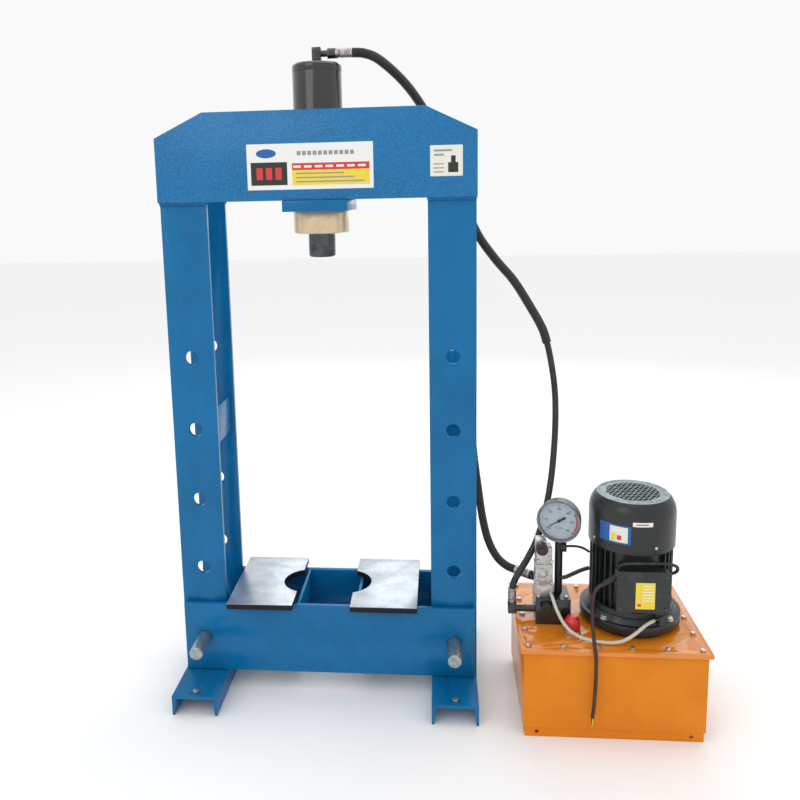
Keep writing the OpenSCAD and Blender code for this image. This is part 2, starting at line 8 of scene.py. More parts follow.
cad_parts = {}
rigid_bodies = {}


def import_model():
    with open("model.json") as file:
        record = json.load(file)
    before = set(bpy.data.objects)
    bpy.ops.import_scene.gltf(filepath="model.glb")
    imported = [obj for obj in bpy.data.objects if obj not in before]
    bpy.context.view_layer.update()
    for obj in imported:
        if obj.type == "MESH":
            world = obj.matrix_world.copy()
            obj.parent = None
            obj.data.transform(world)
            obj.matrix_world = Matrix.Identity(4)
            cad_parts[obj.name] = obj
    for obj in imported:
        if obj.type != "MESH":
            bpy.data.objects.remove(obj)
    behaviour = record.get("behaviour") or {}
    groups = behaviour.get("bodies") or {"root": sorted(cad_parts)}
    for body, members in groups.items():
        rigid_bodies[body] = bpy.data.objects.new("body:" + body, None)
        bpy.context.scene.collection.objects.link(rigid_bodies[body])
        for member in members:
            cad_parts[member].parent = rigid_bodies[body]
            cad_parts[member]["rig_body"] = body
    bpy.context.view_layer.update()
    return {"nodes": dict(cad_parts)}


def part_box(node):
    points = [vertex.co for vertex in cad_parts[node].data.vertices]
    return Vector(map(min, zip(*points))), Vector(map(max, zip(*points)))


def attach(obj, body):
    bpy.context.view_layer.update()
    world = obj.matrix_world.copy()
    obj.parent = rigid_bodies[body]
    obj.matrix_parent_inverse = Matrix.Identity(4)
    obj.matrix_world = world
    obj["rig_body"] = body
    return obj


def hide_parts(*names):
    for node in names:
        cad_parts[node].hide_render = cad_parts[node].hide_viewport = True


bl_info = {
    "name": "Hydraulic shop press",
    "version": (1, 0, 0),
    "blender": (4, 5, 0),
    "location": "3D View > Sidebar > Press",
    "description": "Finishes a hydraulic shop press and its power unit around the packed frame",
    "category": "Add Mesh",
}

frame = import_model()

MM = 0.001
PRESS = Vector((-0.275, 0.020, 0.0))
UNIT = Vector((0.452, -0.084, 0.0))
MOTOR = UNIT + Vector((0.068, 0.0, 0.0))
POST_X = 0.34
VALVE_FRONT = UNIT.y - 0.040
GAUGE_X = -0.116
INK_LIFT = 0.0002
FACING_FRONT = Matrix.Rotation(math.radians(90), 4, "X")


# ---- shader expressions


class Field:
    """A number or colour that varies over a finish; arithmetic on it adds Math nodes."""

    def __init__(self, finish, socket):
        self.finish = finish
        self.socket = socket

    def _math(self, operation, *terms):
        return self.finish.node("ShaderNodeMath", {"operation": operation}, terms)

    def __add__(self, other):
        return self._math("ADD", self, other)

    __radd__ = __add__

    def __sub__(self, other):
        return self._math("SUBTRACT", self, other)

    def __rsub__(self, other):
        return self._math("SUBTRACT", other, self)

    def __mul__(self, other):
        return self._math("MULTIPLY", self, other)

    __rmul__ = __mul__

    def sine(self):
        return self._math("SINE", self)

    def steps(self, low, high):
        """0 below low, 1 above high, smooth between."""
        settings = {"interpolation_type": "SMOOTHSTEP"}
        return self.finish.node("ShaderNodeMapRange", settings, (self, low, high, 0.0, 1.0))


class Finish:
    """A material on the Principled shader, built from fields on Object coordinates."""

    def __init__(self, name, colour, roughness, metallic=0.0, **constants):
        self.material = bpy.data.materials.new(name)
        self.material.use_nodes = True
        self.tree = self.material.node_tree
        self.tree.nodes.clear()
        self.shader = self.tree.nodes.new("ShaderNodeBsdfPrincipled")
        output = self.tree.nodes.new("ShaderNodeOutputMaterial")
        self.tree.links.new(self.shader.outputs["BSDF"], output.inputs["Surface"])
        self.shader.inputs["Base Color"].default_value = (*colour, 1.0)
        self.shader.inputs["Roughness"].default_value = roughness
        self.shader.inputs["Metallic"].default_value = metallic
        for socket, value in constants.items():
            self.shader.inputs[socket.replace("_", " ").title().replace("Ior", "IOR")].default_value = value
        coordinates = self.tree.nodes.new("ShaderNodeTexCoord")
        self.place = Field(self, coordinates.outputs["Object"])
        self.surface = Field(self, coordinates.outputs["UV"])

    def node(self, kind, settings=None, values=(), output=0):
        made = self.tree.nodes.new(kind)
        for name, value in (settings or {}).items():
            setattr(made, name, value)
        pairs = values.items() if isinstance(values, dict) else enumerate(values)
        for socket, value in pairs:
            if isinstance(value, Field):
                self.tree.links.new(value.socket, made.inputs[socket])
            elif value is not None:
                made.inputs[socket].default_value = value
        return Field(self, made.outputs[output])

    def noise(self, scale, detail=3.0, roughness=0.55, stretch=(1, 1, 1)):
        moved = self.node("ShaderNodeMapping", None, {"Vector": self.place, "Scale": stretch})
        values = {"Vector": moved, "Scale": scale, "Detail": detail, "Roughness": roughness}
        return self.node("ShaderNodeTexNoise", None, values)

    def cells(self, scale, feature="F1"):
        values = {"Vector": self.place, "Scale": scale}
        return self.node("ShaderNodeTexVoronoi", {"feature": feature}, values)

    def axis(self, letter, where=None):
        return self.node("ShaderNodeSeparateXYZ", None, (where or self.place,), "XYZ".index(letter))

    def mix(self, first, second, factor):
        """A colour between two colours, by a field."""
        colours = [c if isinstance(c, Field) else (*c, 1.0) for c in (first, second)]
        values = {"Factor": factor, 6: colours[0], 7: colours[1]}
        return self.node("ShaderNodeMix", {"data_type": "RGBA"}, values, 2)

    def feed(self, socket, field):
        self.tree.links.new(field.socket, self.shader.inputs[socket])
        return self

    def bump(self, height, depth, strength=1.0):
        values = {"Height": height, "Distance": depth, "Strength": strength}
        return self.feed("Normal", self.node("ShaderNodeBump", None, values))


def enamel(name, colour, shade, peel=0.00025, roughness=0.26, gloss=0.22, coat=0.08):
    """Sprayed enamel: slow colour drift, orange peel and a little dust that dulls it."""
    finish = Finish(name, colour, roughness, specular_ior_level=gloss, coat_weight=coat, coat_roughness=0.09)
    drift = finish.noise(7.0, 3.0)
    dust = finish.noise(38.0, 5.0, 0.7).steps(0.52, 0.74)
    scuffs = finish.noise(150.0, 2.0, 0.5, (1, 1, 0.06)).steps(0.66, 0.76)
    tone = finish.mix(colour, shade, drift.steps(0.35, 0.7) * 0.55)
    pale = tuple(0.72 * c + 0.10 for c in colour)
    finish.feed("Base Color", finish.mix(tone, pale, dust * 0.03 + scuffs * 0.05))
    finish.feed("Roughness", roughness + dust * 0.12 + scuffs * 0.08)
    finish.bump(finish.noise(210.0, 1.0) + finish.noise(60.0, 1.0) * 0.8, peel, 0.55)
    return finish.material


def hammertone(name, colour, shade):
    """Paint that dries into small round dimples."""
    finish = Finish(name, colour, 0.24, specular_ior_level=0.3, coat_weight=0.12, coat_roughness=0.12)
    dimples = finish.cells(330.0, "SMOOTH_F1")
    drift = finish.noise(6.0, 3.0)
    speck = dimples.steps(0.15, 0.55)
    bright = tuple(min(1.0, 1.22 * c + 0.012) for c in colour)
    tone = finish.mix(colour, shade, drift.steps(0.4, 0.7) * 0.5)
    finish.feed("Base Color", finish.mix(bright, tone, speck))
    finish.feed("Roughness", 0.22 + speck * 0.12)
    finish.bump(dimples + finish.noise(520.0, 2.0) * 0.3, 0.0009, 0.8)
    return finish.material


def bare_plate(name, top_z):
    """A loose plate: bright mottled faces, with black mill scale on its edges."""
    finish = Finish(name, (0.62, 0.64, 0.68), 0.3, 0.85)
    cloud = finish.noise(16.0, 6.0, 0.72, (1, 1.6, 1))
    fine = finish.noise(95.0, 4.0, 0.7)
    stain = finish.noise(30.0, 5.0, 0.75, (1.3, 1, 1)).steps(0.56, 0.66)
    face = finish.axis("Z").steps(top_z - 0.0016, top_z - 0.0006)
    bright = finish.mix((0.60, 0.66, 0.73), (0.46, 0.50, 0.54), cloud.steps(0.38, 0.70))
    stained = finish.mix(bright, (0.26, 0.28, 0.30), stain * (0.15 + fine * 0.4))
    finish.feed("Base Color", finish.mix((0.025, 0.026, 0.030), stained, face))
    finish.feed("Roughness", 0.56 - face * 0.30 + fine * 0.10 + stain * 0.12)
    finish.bump(fine + finish.noise(900.0, 2.0) * 0.4, 0.00022, 0.6)
    return finish.material


def metal(name, colour, shade, roughness, grain=0.00012, scale=70.0, stretch=(1, 1, 1)):
    """Plated or machined metal with clouds in its colour and a fine grain."""
    finish = Finish(name, colour, roughness, 0.9)
    cloud = finish.noise(scale, 4.0, 0.65)
    fine = finish.noise(420.0, 3.0, 0.6, stretch)
    finish.feed("Base Color", finish.mix(colour, shade, cloud.steps(0.38, 0.66)))
    finish.feed("Roughness", roughness - 0.05 + cloud * 0.14 + fine * 0.06)
    finish.bump(fine, grain, 0.5)
    return finish.material


def plastic(name, colour, roughness=0.42, texture=650.0, depth=0.00012, coat=0.0):
    """Moulded plastic or paint over a casting, with a fine sparkle texture."""
    finish = Finish(name, colour, roughness, coat_weight=coat, coat_roughness=0.15)
    fine = finish.noise(texture, 2.0)
    dust = finish.noise(28.0, 5.0, 0.7).steps(0.50, 0.78)
    pale = tuple(0.85 * c + 0.035 for c in colour)
    finish.feed("Base Color", finish.mix(colour, pale, dust * 0.7))
    finish.feed("Roughness", roughness + dust * 0.14 + fine * 0.05)
    finish.bump(fine, depth, 0.6)
    return finish.material


def hose_rubber(name, colour, weave=0.0, turns=10.0, pitch=0.008, length=1.0):
    """Black rubber; with a weave it is the braided sleeve drawn over a hose."""
    finish = Finish(name, colour, 0.46)
    dust = finish.noise(45.0, 4.0, 0.7).steps(0.48, 0.75)
    pale = tuple(c + 0.028 for c in colour)
    finish.feed("Base Color", finish.mix(colour, pale, dust * 0.8))
    finish.feed("Roughness", 0.40 + dust * 0.18)
    if weave:
        along = finish.axis("X", finish.surface) * (length / pitch * math.tau)
        around = finish.axis("Y", finish.surface) * (turns * math.tau)
        braid = (along + around).sine() * (along - around).sine()
        finish.bump(braid, weave, 0.9)
    else:
        finish.bump(finish.noise(500.0, 2.0), 0.00015, 0.5)
    return finish.material


def flat_print(name, colour):
    """Printed vinyl or card."""
    roughness = 0.38
    finish = Finish(name, colour, roughness, coat_weight=0.15, coat_roughness=0.2)
    wear = finish.noise(120.0, 4.0, 0.7).steps(0.55, 0.8)
    shade = tuple(0.86 * c for c in colour)
    finish.feed("Base Color", finish.mix(colour, shade, wear * 0.6))
    finish.feed("Roughness", roughness + wear * 0.12)
    finish.bump(finish.noise(90.0, 2.0), 0.00008, 0.4)
    return finish.material


def see_through(name, colour, roughness, transmission, ior=1.45):
    finish = Finish(name, colour, roughness, transmission_weight=transmission, ior=ior)
    cloud = finish.noise(60.0, 3.0)
    finish.feed("Roughness", roughness + cloud * 0.08)
    finish.bump(finish.noise(200.0, 1.0), 0.00005, 0.3)
    return finish.material


FINISHES = {}


def make_finishes(looks):
    blue = tuple(looks.blue)
    deep = tuple(0.72 * c for c in blue)
    orange = tuple(looks.orange)
    burnt = (orange[0] * 0.86, orange[1] * 0.74, orange[2])
    FINISHES.update(
        blue=enamel("Blue enamel", blue, deep),
        blue_hammer=hammertone("Blue hammertone", blue, deep),
        orange=enamel("Orange enamel", orange, burnt, 0.0002, 0.24, 0.15, 0.05),
        lid=enamel("Orange lid", orange, burnt, 0.0002, 0.12, 0.5, 0.5),
        bench=bare_plate("Bare bench plate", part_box("left_bench_plate")[1].z),
        black_gloss=enamel("Black enamel", (0.012, 0.013, 0.016), (0.02, 0.02, 0.022),
                           0.0001, 0.17, 0.5, 0.4),
        zinc=metal("Grey zinc", (0.40, 0.46, 0.48), (0.24, 0.29, 0.30), 0.36, 0.0002, 110.0),
        steel=metal("Bright steel", (0.66, 0.67, 0.69), (0.48, 0.49, 0.50), 0.26),
        ring=metal("Yellow zinc", (0.74, 0.60, 0.40), (0.64, 0.50, 0.34), 0.28, 0.0001, 20.0, (1, 1, 7)),
        bronze=metal("Bronze", (0.60, 0.38, 0.14), (0.45, 0.26, 0.09), 0.34),
        ram=metal("Ram steel", (0.10, 0.11, 0.12), (0.06, 0.065, 0.07), 0.24, 0.00008, 40.0, (1, 1, 9)),
        ferrule=metal("Plated ferrule", (0.50, 0.46, 0.45), (0.30, 0.26, 0.25), 0.30),
        fitting=metal("Dark fitting", (0.10, 0.095, 0.09), (0.05, 0.048, 0.045), 0.38),
        silver=metal("Valve silver", (0.60, 0.60, 0.58), (0.40, 0.40, 0.38), 0.34, 0.0002, 90.0),
        cast=metal("Cast grey", (0.34, 0.34, 0.35), (0.24, 0.24, 0.25), 0.52, 0.0005, 60.0),
        core=metal("Core plates", (0.30, 0.27, 0.24), (0.18, 0.16, 0.14), 0.5, 0.0004, 60.0, (1, 1, 30)),
        motor=plastic("Motor paint", (0.008, 0.013, 0.014), 0.36, 420.0, 0.00025, 0.12),
        cowl=enamel("Cowl paint", (0.014, 0.018, 0.020), (0.030, 0.029, 0.027), 0.00012, 0.30, 0.35, 0.10),
        bezel=metal("Gauge bezel", (0.20, 0.25, 0.28), (0.13, 0.17, 0.19), 0.30, 0.0001, 60.0),
        grille=metal("Grille zinc", (0.30, 0.36, 0.37), (0.20, 0.25, 0.26), 0.40, 0.0001, 60.0),
        black_plastic=plastic("Black plastic", (0.012, 0.012, 0.014), 0.44),
        coil=plastic("Coil plastic", (0.035, 0.010, 0.010), 0.34),
        red=plastic("Red plastic", (0.62, 0.020, 0.022), 0.26, 500.0, 0.00006, 0.4),
        rubber=hose_rubber("Hose rubber", (0.010, 0.010, 0.011)),
        sleeve=hose_rubber("Braided sleeve", (0.012, 0.012, 0.013), 0.0007, 9.0, 0.009, 1.35),
        mains=hose_rubber("Mains lead", (0.030, 0.010, 0.008)),
        tube=see_through("Milky tube", (0.80, 0.77, 0.66), 0.32, 0.35),
        glass=see_through("Gauge glass", (1.0, 1.0, 1.0), 0.02, 1.0, 1.12),
        copper=metal("Copper strands", (0.80, 0.36, 0.20), (0.60, 0.25, 0.12), 0.3),
        white=flat_print("White vinyl", (0.80, 0.80, 0.78)),
        cream=flat_print("Cream vinyl", (0.76, 0.75, 0.66)),
        ink=flat_print("Black ink", (0.012, 0.012, 0.014)),
        ink_grey=flat_print("Grey ink", (0.26, 0.27, 0.29)),
        ink_red=flat_print("Red ink", (0.62, 0.030, 0.025)),
        ink_yellow=flat_print("Yellow ink", (0.80, 0.62, 0.035)),
        ink_blue=flat_print("Blue ink", (0.010, 0.10, 0.36)),
        dial=flat_print("Dial card", (0.46, 0.54, 0.60)),
    )


# ---- modelling helpers


def select_only(*pieces):
    if bpy.context.mode != "OBJECT":
        bpy.ops.object.mode_set(mode="OBJECT")
    bpy.ops.object.select_all(action="DESELECT")
    for piece in pieces:
        piece.select_set(True)
    if pieces:
        bpy.context.view_layer.objects.active = pieces[0]


def place_in_mesh(piece):
    """Puts the piece's place, turn and size into its mesh, so that its object stays at the origin."""
    select_only(piece)
    bpy.ops.object.transform_apply(location=True, rotation=True, scale=True)


def edit(piece):
    select_only(piece)
    bpy.ops.object.mode_set(mode="EDIT")
    bpy.ops.mesh.select_mode(type="VERT")
    bpy.ops.mesh.select_all(action="SELECT")


def leave_edit():
    bpy.ops.object.mode_set(mode="OBJECT")


def pick_faces(piece, test):
    """Selects the faces whose centre and normal pass the test, and goes into edit mode."""
    edit(piece)
    bpy.ops.mesh.select_mode(type="FACE")
    bpy.ops.mesh.select_all(action="DESELECT")
    leave_edit()
    for face in piece.data.polygons:
        face.select = bool(test(face.center, face.normal))
    bpy.ops.object.mode_set(mode="EDIT")


def keep_between(piece, start, end, axis):
    """Deletes the faces outside two angles, in degrees, about an upright axis."""
    pick_faces(piece, lambda c, n: not start < math.degrees(math.atan2(c.y - axis.y, c.x - axis.x)) < end)
    bpy.ops.mesh.delete(type="FACE")
    leave_edit()


def join(pieces, name):
    select_only(*pieces)
    if len(pieces) > 1:
        bpy.ops.object.join()
    joined = bpy.context.view_layer.objects.active
    joined.name = name
    return joined


def modify(piece, kind, **settings):
    """Adds a modifier with these settings and applies it."""
    select_only(piece)
    modifier = piece.modifiers.new(kind.title(), kind)
    for name, value in settings.items():
        setattr(modifier, name, value)
    bpy.ops.object.modifier_apply(modifier=modifier.name)


def bevel(piece, width, segments=2, angle=32.0):
    modify(piece, "BEVEL", width=width, segments=segments, limit_method="ANGLE",
           angle_limit=math.radians(angle), harden_normals=False)
    return piece


def thicken(piece, thickness):
    """Gives a sheet a wall on its inner side."""
    modify(piece, "SOLIDIFY", thickness=thickness, offset=-1.0)


def smooth(piece, angle=38.0):
    select_only(piece)
    bpy.ops.object.shade_smooth_by_angle(angle=math.radians(angle))


def paint(piece, finish):
    piece.data.materials.clear()
    piece.data.materials.append(FINISHES[finish])


def finish_piece(piece, name, finish=None, angle=38.0, body="frame"):
    """The last steps of every piece: its name, finish, smooth shading and body."""
    place_in_mesh(piece)
    piece.name = name
    piece.data.name = name
    if finish:
        paint(piece, finish)
    smooth(piece, angle)
    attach(piece, body)
    return piece


def assemble(parts, name, finish=None, angle=38.0, at=None, stands_for=None, body="frame"):
    """Joins parts into one finished piece, placed by a matrix, that may stand for a CAD node."""
    piece = join(parts, name)
    if at:
        put(piece, at)
    finish_piece(piece, name, finish, angle, body)
    if stands_for:
        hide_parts(stands_for)
    return piece


def flat(matrix, finish):
    """A unit square, placed and stretched by a matrix."""
    bpy.ops.mesh.primitive_plane_add(size=1.0)
    piece = bpy.context.active_object
    piece.matrix_world = matrix
    place_in_mesh(piece)
    paint(piece, finish)
    return piece


def twin(source):
    """A copy with a mesh of its own."""
    made = source.copy()
    made.data = source.data.copy()
    bpy.context.scene.collection.objects.link(made)
    return made


def over(point, height):
    """A move to a height above a point on the floor."""
    return Matrix.Translation((point.x, point.y, height))


def spread(count, make, start=0.0, at=Matrix()):
    """Pieces made one by one and set around Z at equal angles, from a start angle in degrees."""
    return [put(make(), at @ Matrix.Rotation(math.radians(start + 360 / count * i), 4, "Z"))
            for i in range(count)]


def block(size, centre, turn=None):
    bpy.ops.mesh.primitive_cube_add(size=1.0, location=(0, 0, 0))
    piece = bpy.context.active_object
    piece.matrix_world = Matrix.Translation(centre) @ (turn or Matrix()) @ Matrix.Diagonal((*size, 1.0))
    place_in_mesh(piece)
    return piece


def rod(radius, length, centre, turn=None, sides=48, top=None):
    """A cylinder, or a cone with a top radius, lying along its own Z before it is turned."""
    top = radius if top is None else top
    bpy.ops.mesh.primitive_cone_add(vertices=sides, radius1=radius, radius2=top, depth=length)
    piece = bpy.context.active_object
    piece.matrix_world = Matrix.Translation(centre) @ (turn or Matrix())
    place_in_mesh(piece)
    return piece


def turned(profile, sides=64, closed=True):
    """A solid of revolution about Z from points (radius, height), given in millimetres."""
    bpy.ops.mesh.primitive_circle_add(vertices=sides, radius=profile[0][0] * MM, fill_type="NOTHING")
    piece = bpy.context.active_object
    piece.matrix_world = Matrix.Translation((0, 0, profile[0][1] * MM))
    place_in_mesh(piece)
    edit(piece)
    for (r0, z0), (r1, z1) in zip(profile, profile[1:]):
        bpy.ops.mesh.extrude_region_move(TRANSFORM_OT_translate={"value": (0, 0, (z1 - z0) * MM)})
        ratio = r1 / r0
        bpy.ops.transform.resize(value=(ratio, ratio, 1.0), center_override=(0, 0, z1 * MM))
    if closed:
        bpy.ops.mesh.select_all(action="SELECT")
        bpy.ops.mesh.select_non_manifold()
        bpy.ops.mesh.fill_holes(sides=0)
        bpy.ops.mesh.select_all(action="SELECT")
    bpy.ops.mesh.select_all(action="SELECT")
    bpy.ops.mesh.normals_make_consistent(inside=False)
    leave_edit()
    return piece


def put(piece, matrix):
    piece.matrix_world = matrix @ piece.matrix_world
    place_in_mesh(piece)
    return piece


def refined(node, finish, width, segments=2):
    """A copy of a CAD node with its edges rounded; it stands for the node."""
    source = frame["nodes"][node]
    piece = twin(source)
    for key in list(piece.keys()):
        del piece[key]
    piece.parent = None
    piece.matrix_world = Matrix()
    edit(piece)
    bpy.ops.mesh.customdata_custom_splitnormals_clear()
    bpy.ops.mesh.remove_doubles(threshold=0.00002)
    bpy.ops.mesh.dissolve_limited(angle_limit=math.radians(1.0))
    leave_edit()
    bevel(piece, width, segments)
    finish_piece(piece, node + "_finished", finish, body=source["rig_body"])
    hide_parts(node)


def coat(nodes, finish):
    """Gives CAD nodes that stay visible a finish."""
    for node in nodes.split():
        paint(frame["nodes"][node], finish)


def rounded_route(points, steps=6):
    """Points along one smooth curve through the route's points, which are in metres."""
    line = [points[0] * 2 - points[1], *points, points[-1] * 2 - points[-2]]
    out = []
    for a, b, c, d in zip(line, line[1:], line[2:], line[3:]):
        for step in range(steps):
            t = step / steps
            bend = (2 * a - 5 * b + 4 * c - d) * t**2 + (3 * b - a - 3 * c + d) * t**3
            out.append(0.5 * (2 * b + (c - a) * t + bend))
    out.append(points[-1].copy())
    return out


def tube_along(name, route, radius, finish, sides=6):
    """A tube along a route of points in millimetres in the press's own place."""
    points = rounded_route([PRESS + Vector(p) * MM for p in route])
    curve = bpy.data.curves.new(name, "CURVE")
    curve.dimensions = "3D"
    curve.bevel_depth = radius
    curve.bevel_resolution = sides
    curve.use_fill_caps = True
    curve.twist_mode = "MINIMUM"
    spline = curve.splines.new("POLY")
    spline.points.add(len(points) - 1)
    for place, point in zip(spline.points, points):
        place.co = (*point, 1.0)
    piece = bpy.data.objects.new(name, curve)
    bpy.context.scene.collection.objects.link(piece)
    select_only(piece)
    bpy.ops.object.convert(target="MESH")
    piece = bpy.context.active_object
    piece.name = name
    paint(piece, finish)
    smooth(piece, 60.0)
    length = sum((b - a).length for a, b in zip(points, points[1:]))
    return piece, points, length


# ---- cords and hoses

# Each route repeats the CAD model's, in millimetres in the press's own place.
SLEEVE_END = (600, 92, 930)
HOSE_A_TOP = [
    (92, 0, 1697), (120, 3, 1695), (150, 14, 1685), (185, 36, 1660), (220, 68, 1628), (250, 104, 1592),
    (280, 132, 1545), (312, 145, 1480), (345, 150, 1400), (375, 149, 1320), (412, 143, 1230),
    (460, 133, 1160), (512, 122, 1098), (560, 108, 1020), (587, 98, 970), SLEEVE_END,
]
HOSE_A_LOWER = [
    (612, 84, 870), (620, 70, 800), (620, 50, 725), (614, 25, 650), (602, -8, 570),
    (582, -45, 490), (558, -75, 430), (534, -95, 390), (512, -108, 358), (499, -114, 337), (492, -116, 315),
]
HOSE_B = [
    (79, 135, 1400), (130, 135, 1399), (190, 136, 1392), (248, 140, 1370), (298, 144, 1330),
    (332, 146, 1270), (352, 147, 1190), (364, 145, 1090), (372, 141, 980), (380, 136, 850),
    (391, 129, 720), (402, 117, 600), (414, 99, 505), (424, 74, 434), (438, 43, 379), (459, 10, 345),
    (484, -18, 331), (508, -38, 329),
]
RETURN_TUBE = [
    (588, -156, 318), (589, -166, 316), (592, -177, 307), (599, -190, 290), (609, -203, 272),
    (623, -215, 257), (641, -226, 248), (663, -237, 244), (690, -245, 243), (718, -250, 244),
    (742, -251, 248), (762, -249, 257), (780, -245, 268), (796, -239, 279), (812, -231, 287),
    (828, -222, 290),
]
MAINS = [
    (704, -220, 381), (694, -220, 375), (685, -222, 364), (679, -226, 345), (676, -233, 320),
    (675, -247, 292), (675, -265, 267), (675, -280, 252), (676, -290, 237), (677, -292, 220),
    (677, -293, 198), (677, -293, 170), (676, -293, 140), (674, -293, 100), (671, -293, 70),
]
SWITCH_CABLE = [
    (629, -110, 430), (641, -110, 431), (655, -109, 430), (668, -108, 427), (680, -107, 421),
    (690, -106, 414),
]
VALVE_CABLE = [
    (614, -128, 352), (626, -128, 354), (640, -127, 360), (655, -124, 366), (670, -120, 371),
    (688, -116, 375),
]
LOOP_CABLE = [
    (740, -222, 422), (740, -222, 427), (744, -223, 433), (754, -224, 437), (773, -225, 439),
    (798, -226, 440), (828, -225, 440), (853, -224, 439), (868, -222, 436), (878, -219, 430),
    (881, -215, 421), (877, -212, 413), (868, -211, 409), (857, -211, 408),
]


def lead(name, route, diameter, finish, node, pieces=()):
    """A cord as a mesh tube that stands for a CAD node; its length is measured but not used."""
    piece, points, length = tube_along(name, route, diameter / 2, finish)
    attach(piece, "frame")
    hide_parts(node)


def crimped(name, length, radius, matrix):
    """A crimped ferrule: a collar, a grooved barrel and a rounded mouth, from 0 to length along Z."""
    end = length / MM
    r = radius / MM
    profile = [(r * 0.72, 0.0), (r * 0.98, 0.6), (r, 1.6), (r, 8.0), (r * 0.80, 9.5), (r * 0.80, 11.5)]
    grooves = 4
    pitch = (end - 18.0) / grooves
    for i in range(grooves):
        z = 13.0 + i * pitch
        profile += [(r * 0.97, z), (r * 0.97, z + pitch * 0.6), (r * 0.90, z + pitch * 0.75)]
    profile += [(r, end - 4.0), (r, end - 1.2), (r * 0.90, end)]
    piece = put(turned(profile, 40), matrix)
    finish_piece(piece, name, "ferrule", 50.0)
    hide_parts("hose_ferrules")
    return piece


# ---- properties


class PressLooks(bpy.types.PropertyGroup):
    blue: bpy.props.FloatVectorProperty(
        name="Blue", description="Enamel of the press frame", subtype="COLOR", default=(0.002, 0.143, 0.352),
        min=0.0, max=1.0)
    orange: bpy.props.FloatVectorProperty(
        name="Orange", description="Enamel of the oil tank", subtype="COLOR", default=(0.74, 0.235, 0.010),
        min=0.0, max=1.0)
    light: bpy.props.FloatProperty(
        name="Light", description="Strength of the studio light", default=1.0, min=0.0, soft_max=4.0)


class PressSizes(bpy.types.PropertyGroup):
    plate_edge: bpy.props.FloatProperty(
        name="Plate edge", description="Rounding on the edges of the frame's plates", default=0.0016,
        min=0.0002, unit="LENGTH")
    sheet_edge: bpy.props.FloatProperty(
        name="Sheet edge", description="Rounding on the edges of the tank and its lid", default=0.0022,
        min=0.0002, unit="LENGTH")
    weld_ripple: bpy.props.FloatProperty(
        name="Weld ripple", description="Distance between ripples of a weld bead", default=0.0046,
        min=0.001, unit="LENGTH")
    lens: bpy.props.FloatProperty(
        name="Lens", description="Focal length of the camera in millimetres", default=36.59, min=10.0)


# ---- stage


class PRESS_OT_stage(bpy.types.Operator):
    """Makes the camera, the soft light and the pale floor"""

    bl_idname = "press.stage"
    bl_label = "Stage"

    def execute(self, context):
        scene = context.scene
        camera = bpy.data.cameras.new("Camera")
        camera.lens = scene.press_sizes.lens
        camera.sensor_width = 36.0
        camera.shift_x = 0.0446
        camera.shift_y = -0.0882
        camera.clip_end = 60.0
        yaw, pitch, roll = 0.093, 0.161, -0.022
        level_out = math.cos(pitch)
        forward = Vector((-math.sin(yaw) * level_out, math.cos(yaw) * level_out, -math.sin(pitch)))
        level = Vector((math.cos(yaw), math.sin(yaw), 0.0))
        upright = level.cross(forward)
        right = level * math.cos(roll) + upright * math.sin(roll)
        up = upright * math.cos(roll) - level * math.sin(roll)
        eye = bpy.data.objects.new("Camera", camera)
        place = Matrix((right, up, -forward)).transposed().to_4x4()
        place.translation = PRESS + Vector((0.3059, -2.1373, 1.3339))
        eye.matrix_world = place
        scene.collection.objects.link(eye)
        scene.camera = eye
        self.floor(context)
        self.lights(scene)
        scene.view_settings.view_transform = "Standard"
        return {"FINISHED"}

    def floor(self, context):
        bpy.ops.mesh.primitive_plane_add(size=24.0, location=(0, 4.0, 0))
        floor = context.active_object
        floor.name = "Floor"
        finish = Finish("Pale floor", (0.94, 0.94, 0.94), 0.7, specular_ior_level=0.1)
        finish.bump(finish.noise(3.0, 2.0), 0.0005, 0.2)
        floor.data.materials.append(finish.material)

    def lights(self, scene):
        strength = scene.press_looks.light
        world = bpy.data.worlds.new("Studio")
        world.use_nodes = True
        sky = world.node_tree.nodes["Background"].inputs
        sky["Color"].default_value = (1.0, 1.0, 1.0, 1.0)
        sky["Strength"].default_value = 0.95 * strength
        scene.world = world
        target = Vector((0.0, 0.0, 0.8))
        lamps = (
            ("Key", (-2.2, -3.2, 3.4), 2.4, 26.0),
            ("Top", (0.3, 0.4, 4.2), 3.0, 30.0),
            ("Back", (0.5, 3.4, 2.6), 3.0, 22.0),
        )
        for name, place, size, power in lamps:
            data = bpy.data.lights.new(name, "AREA")
            data.size = size
            data.energy = power * strength
            lamp = bpy.data.objects.new(name, data)
            lamp.location = place
            lamp.rotation_euler = (target - Vector(place)).to_track_quat("-Z", "Y").to_euler()
            scene.collection.objects.link(lamp)


# ---- pieces


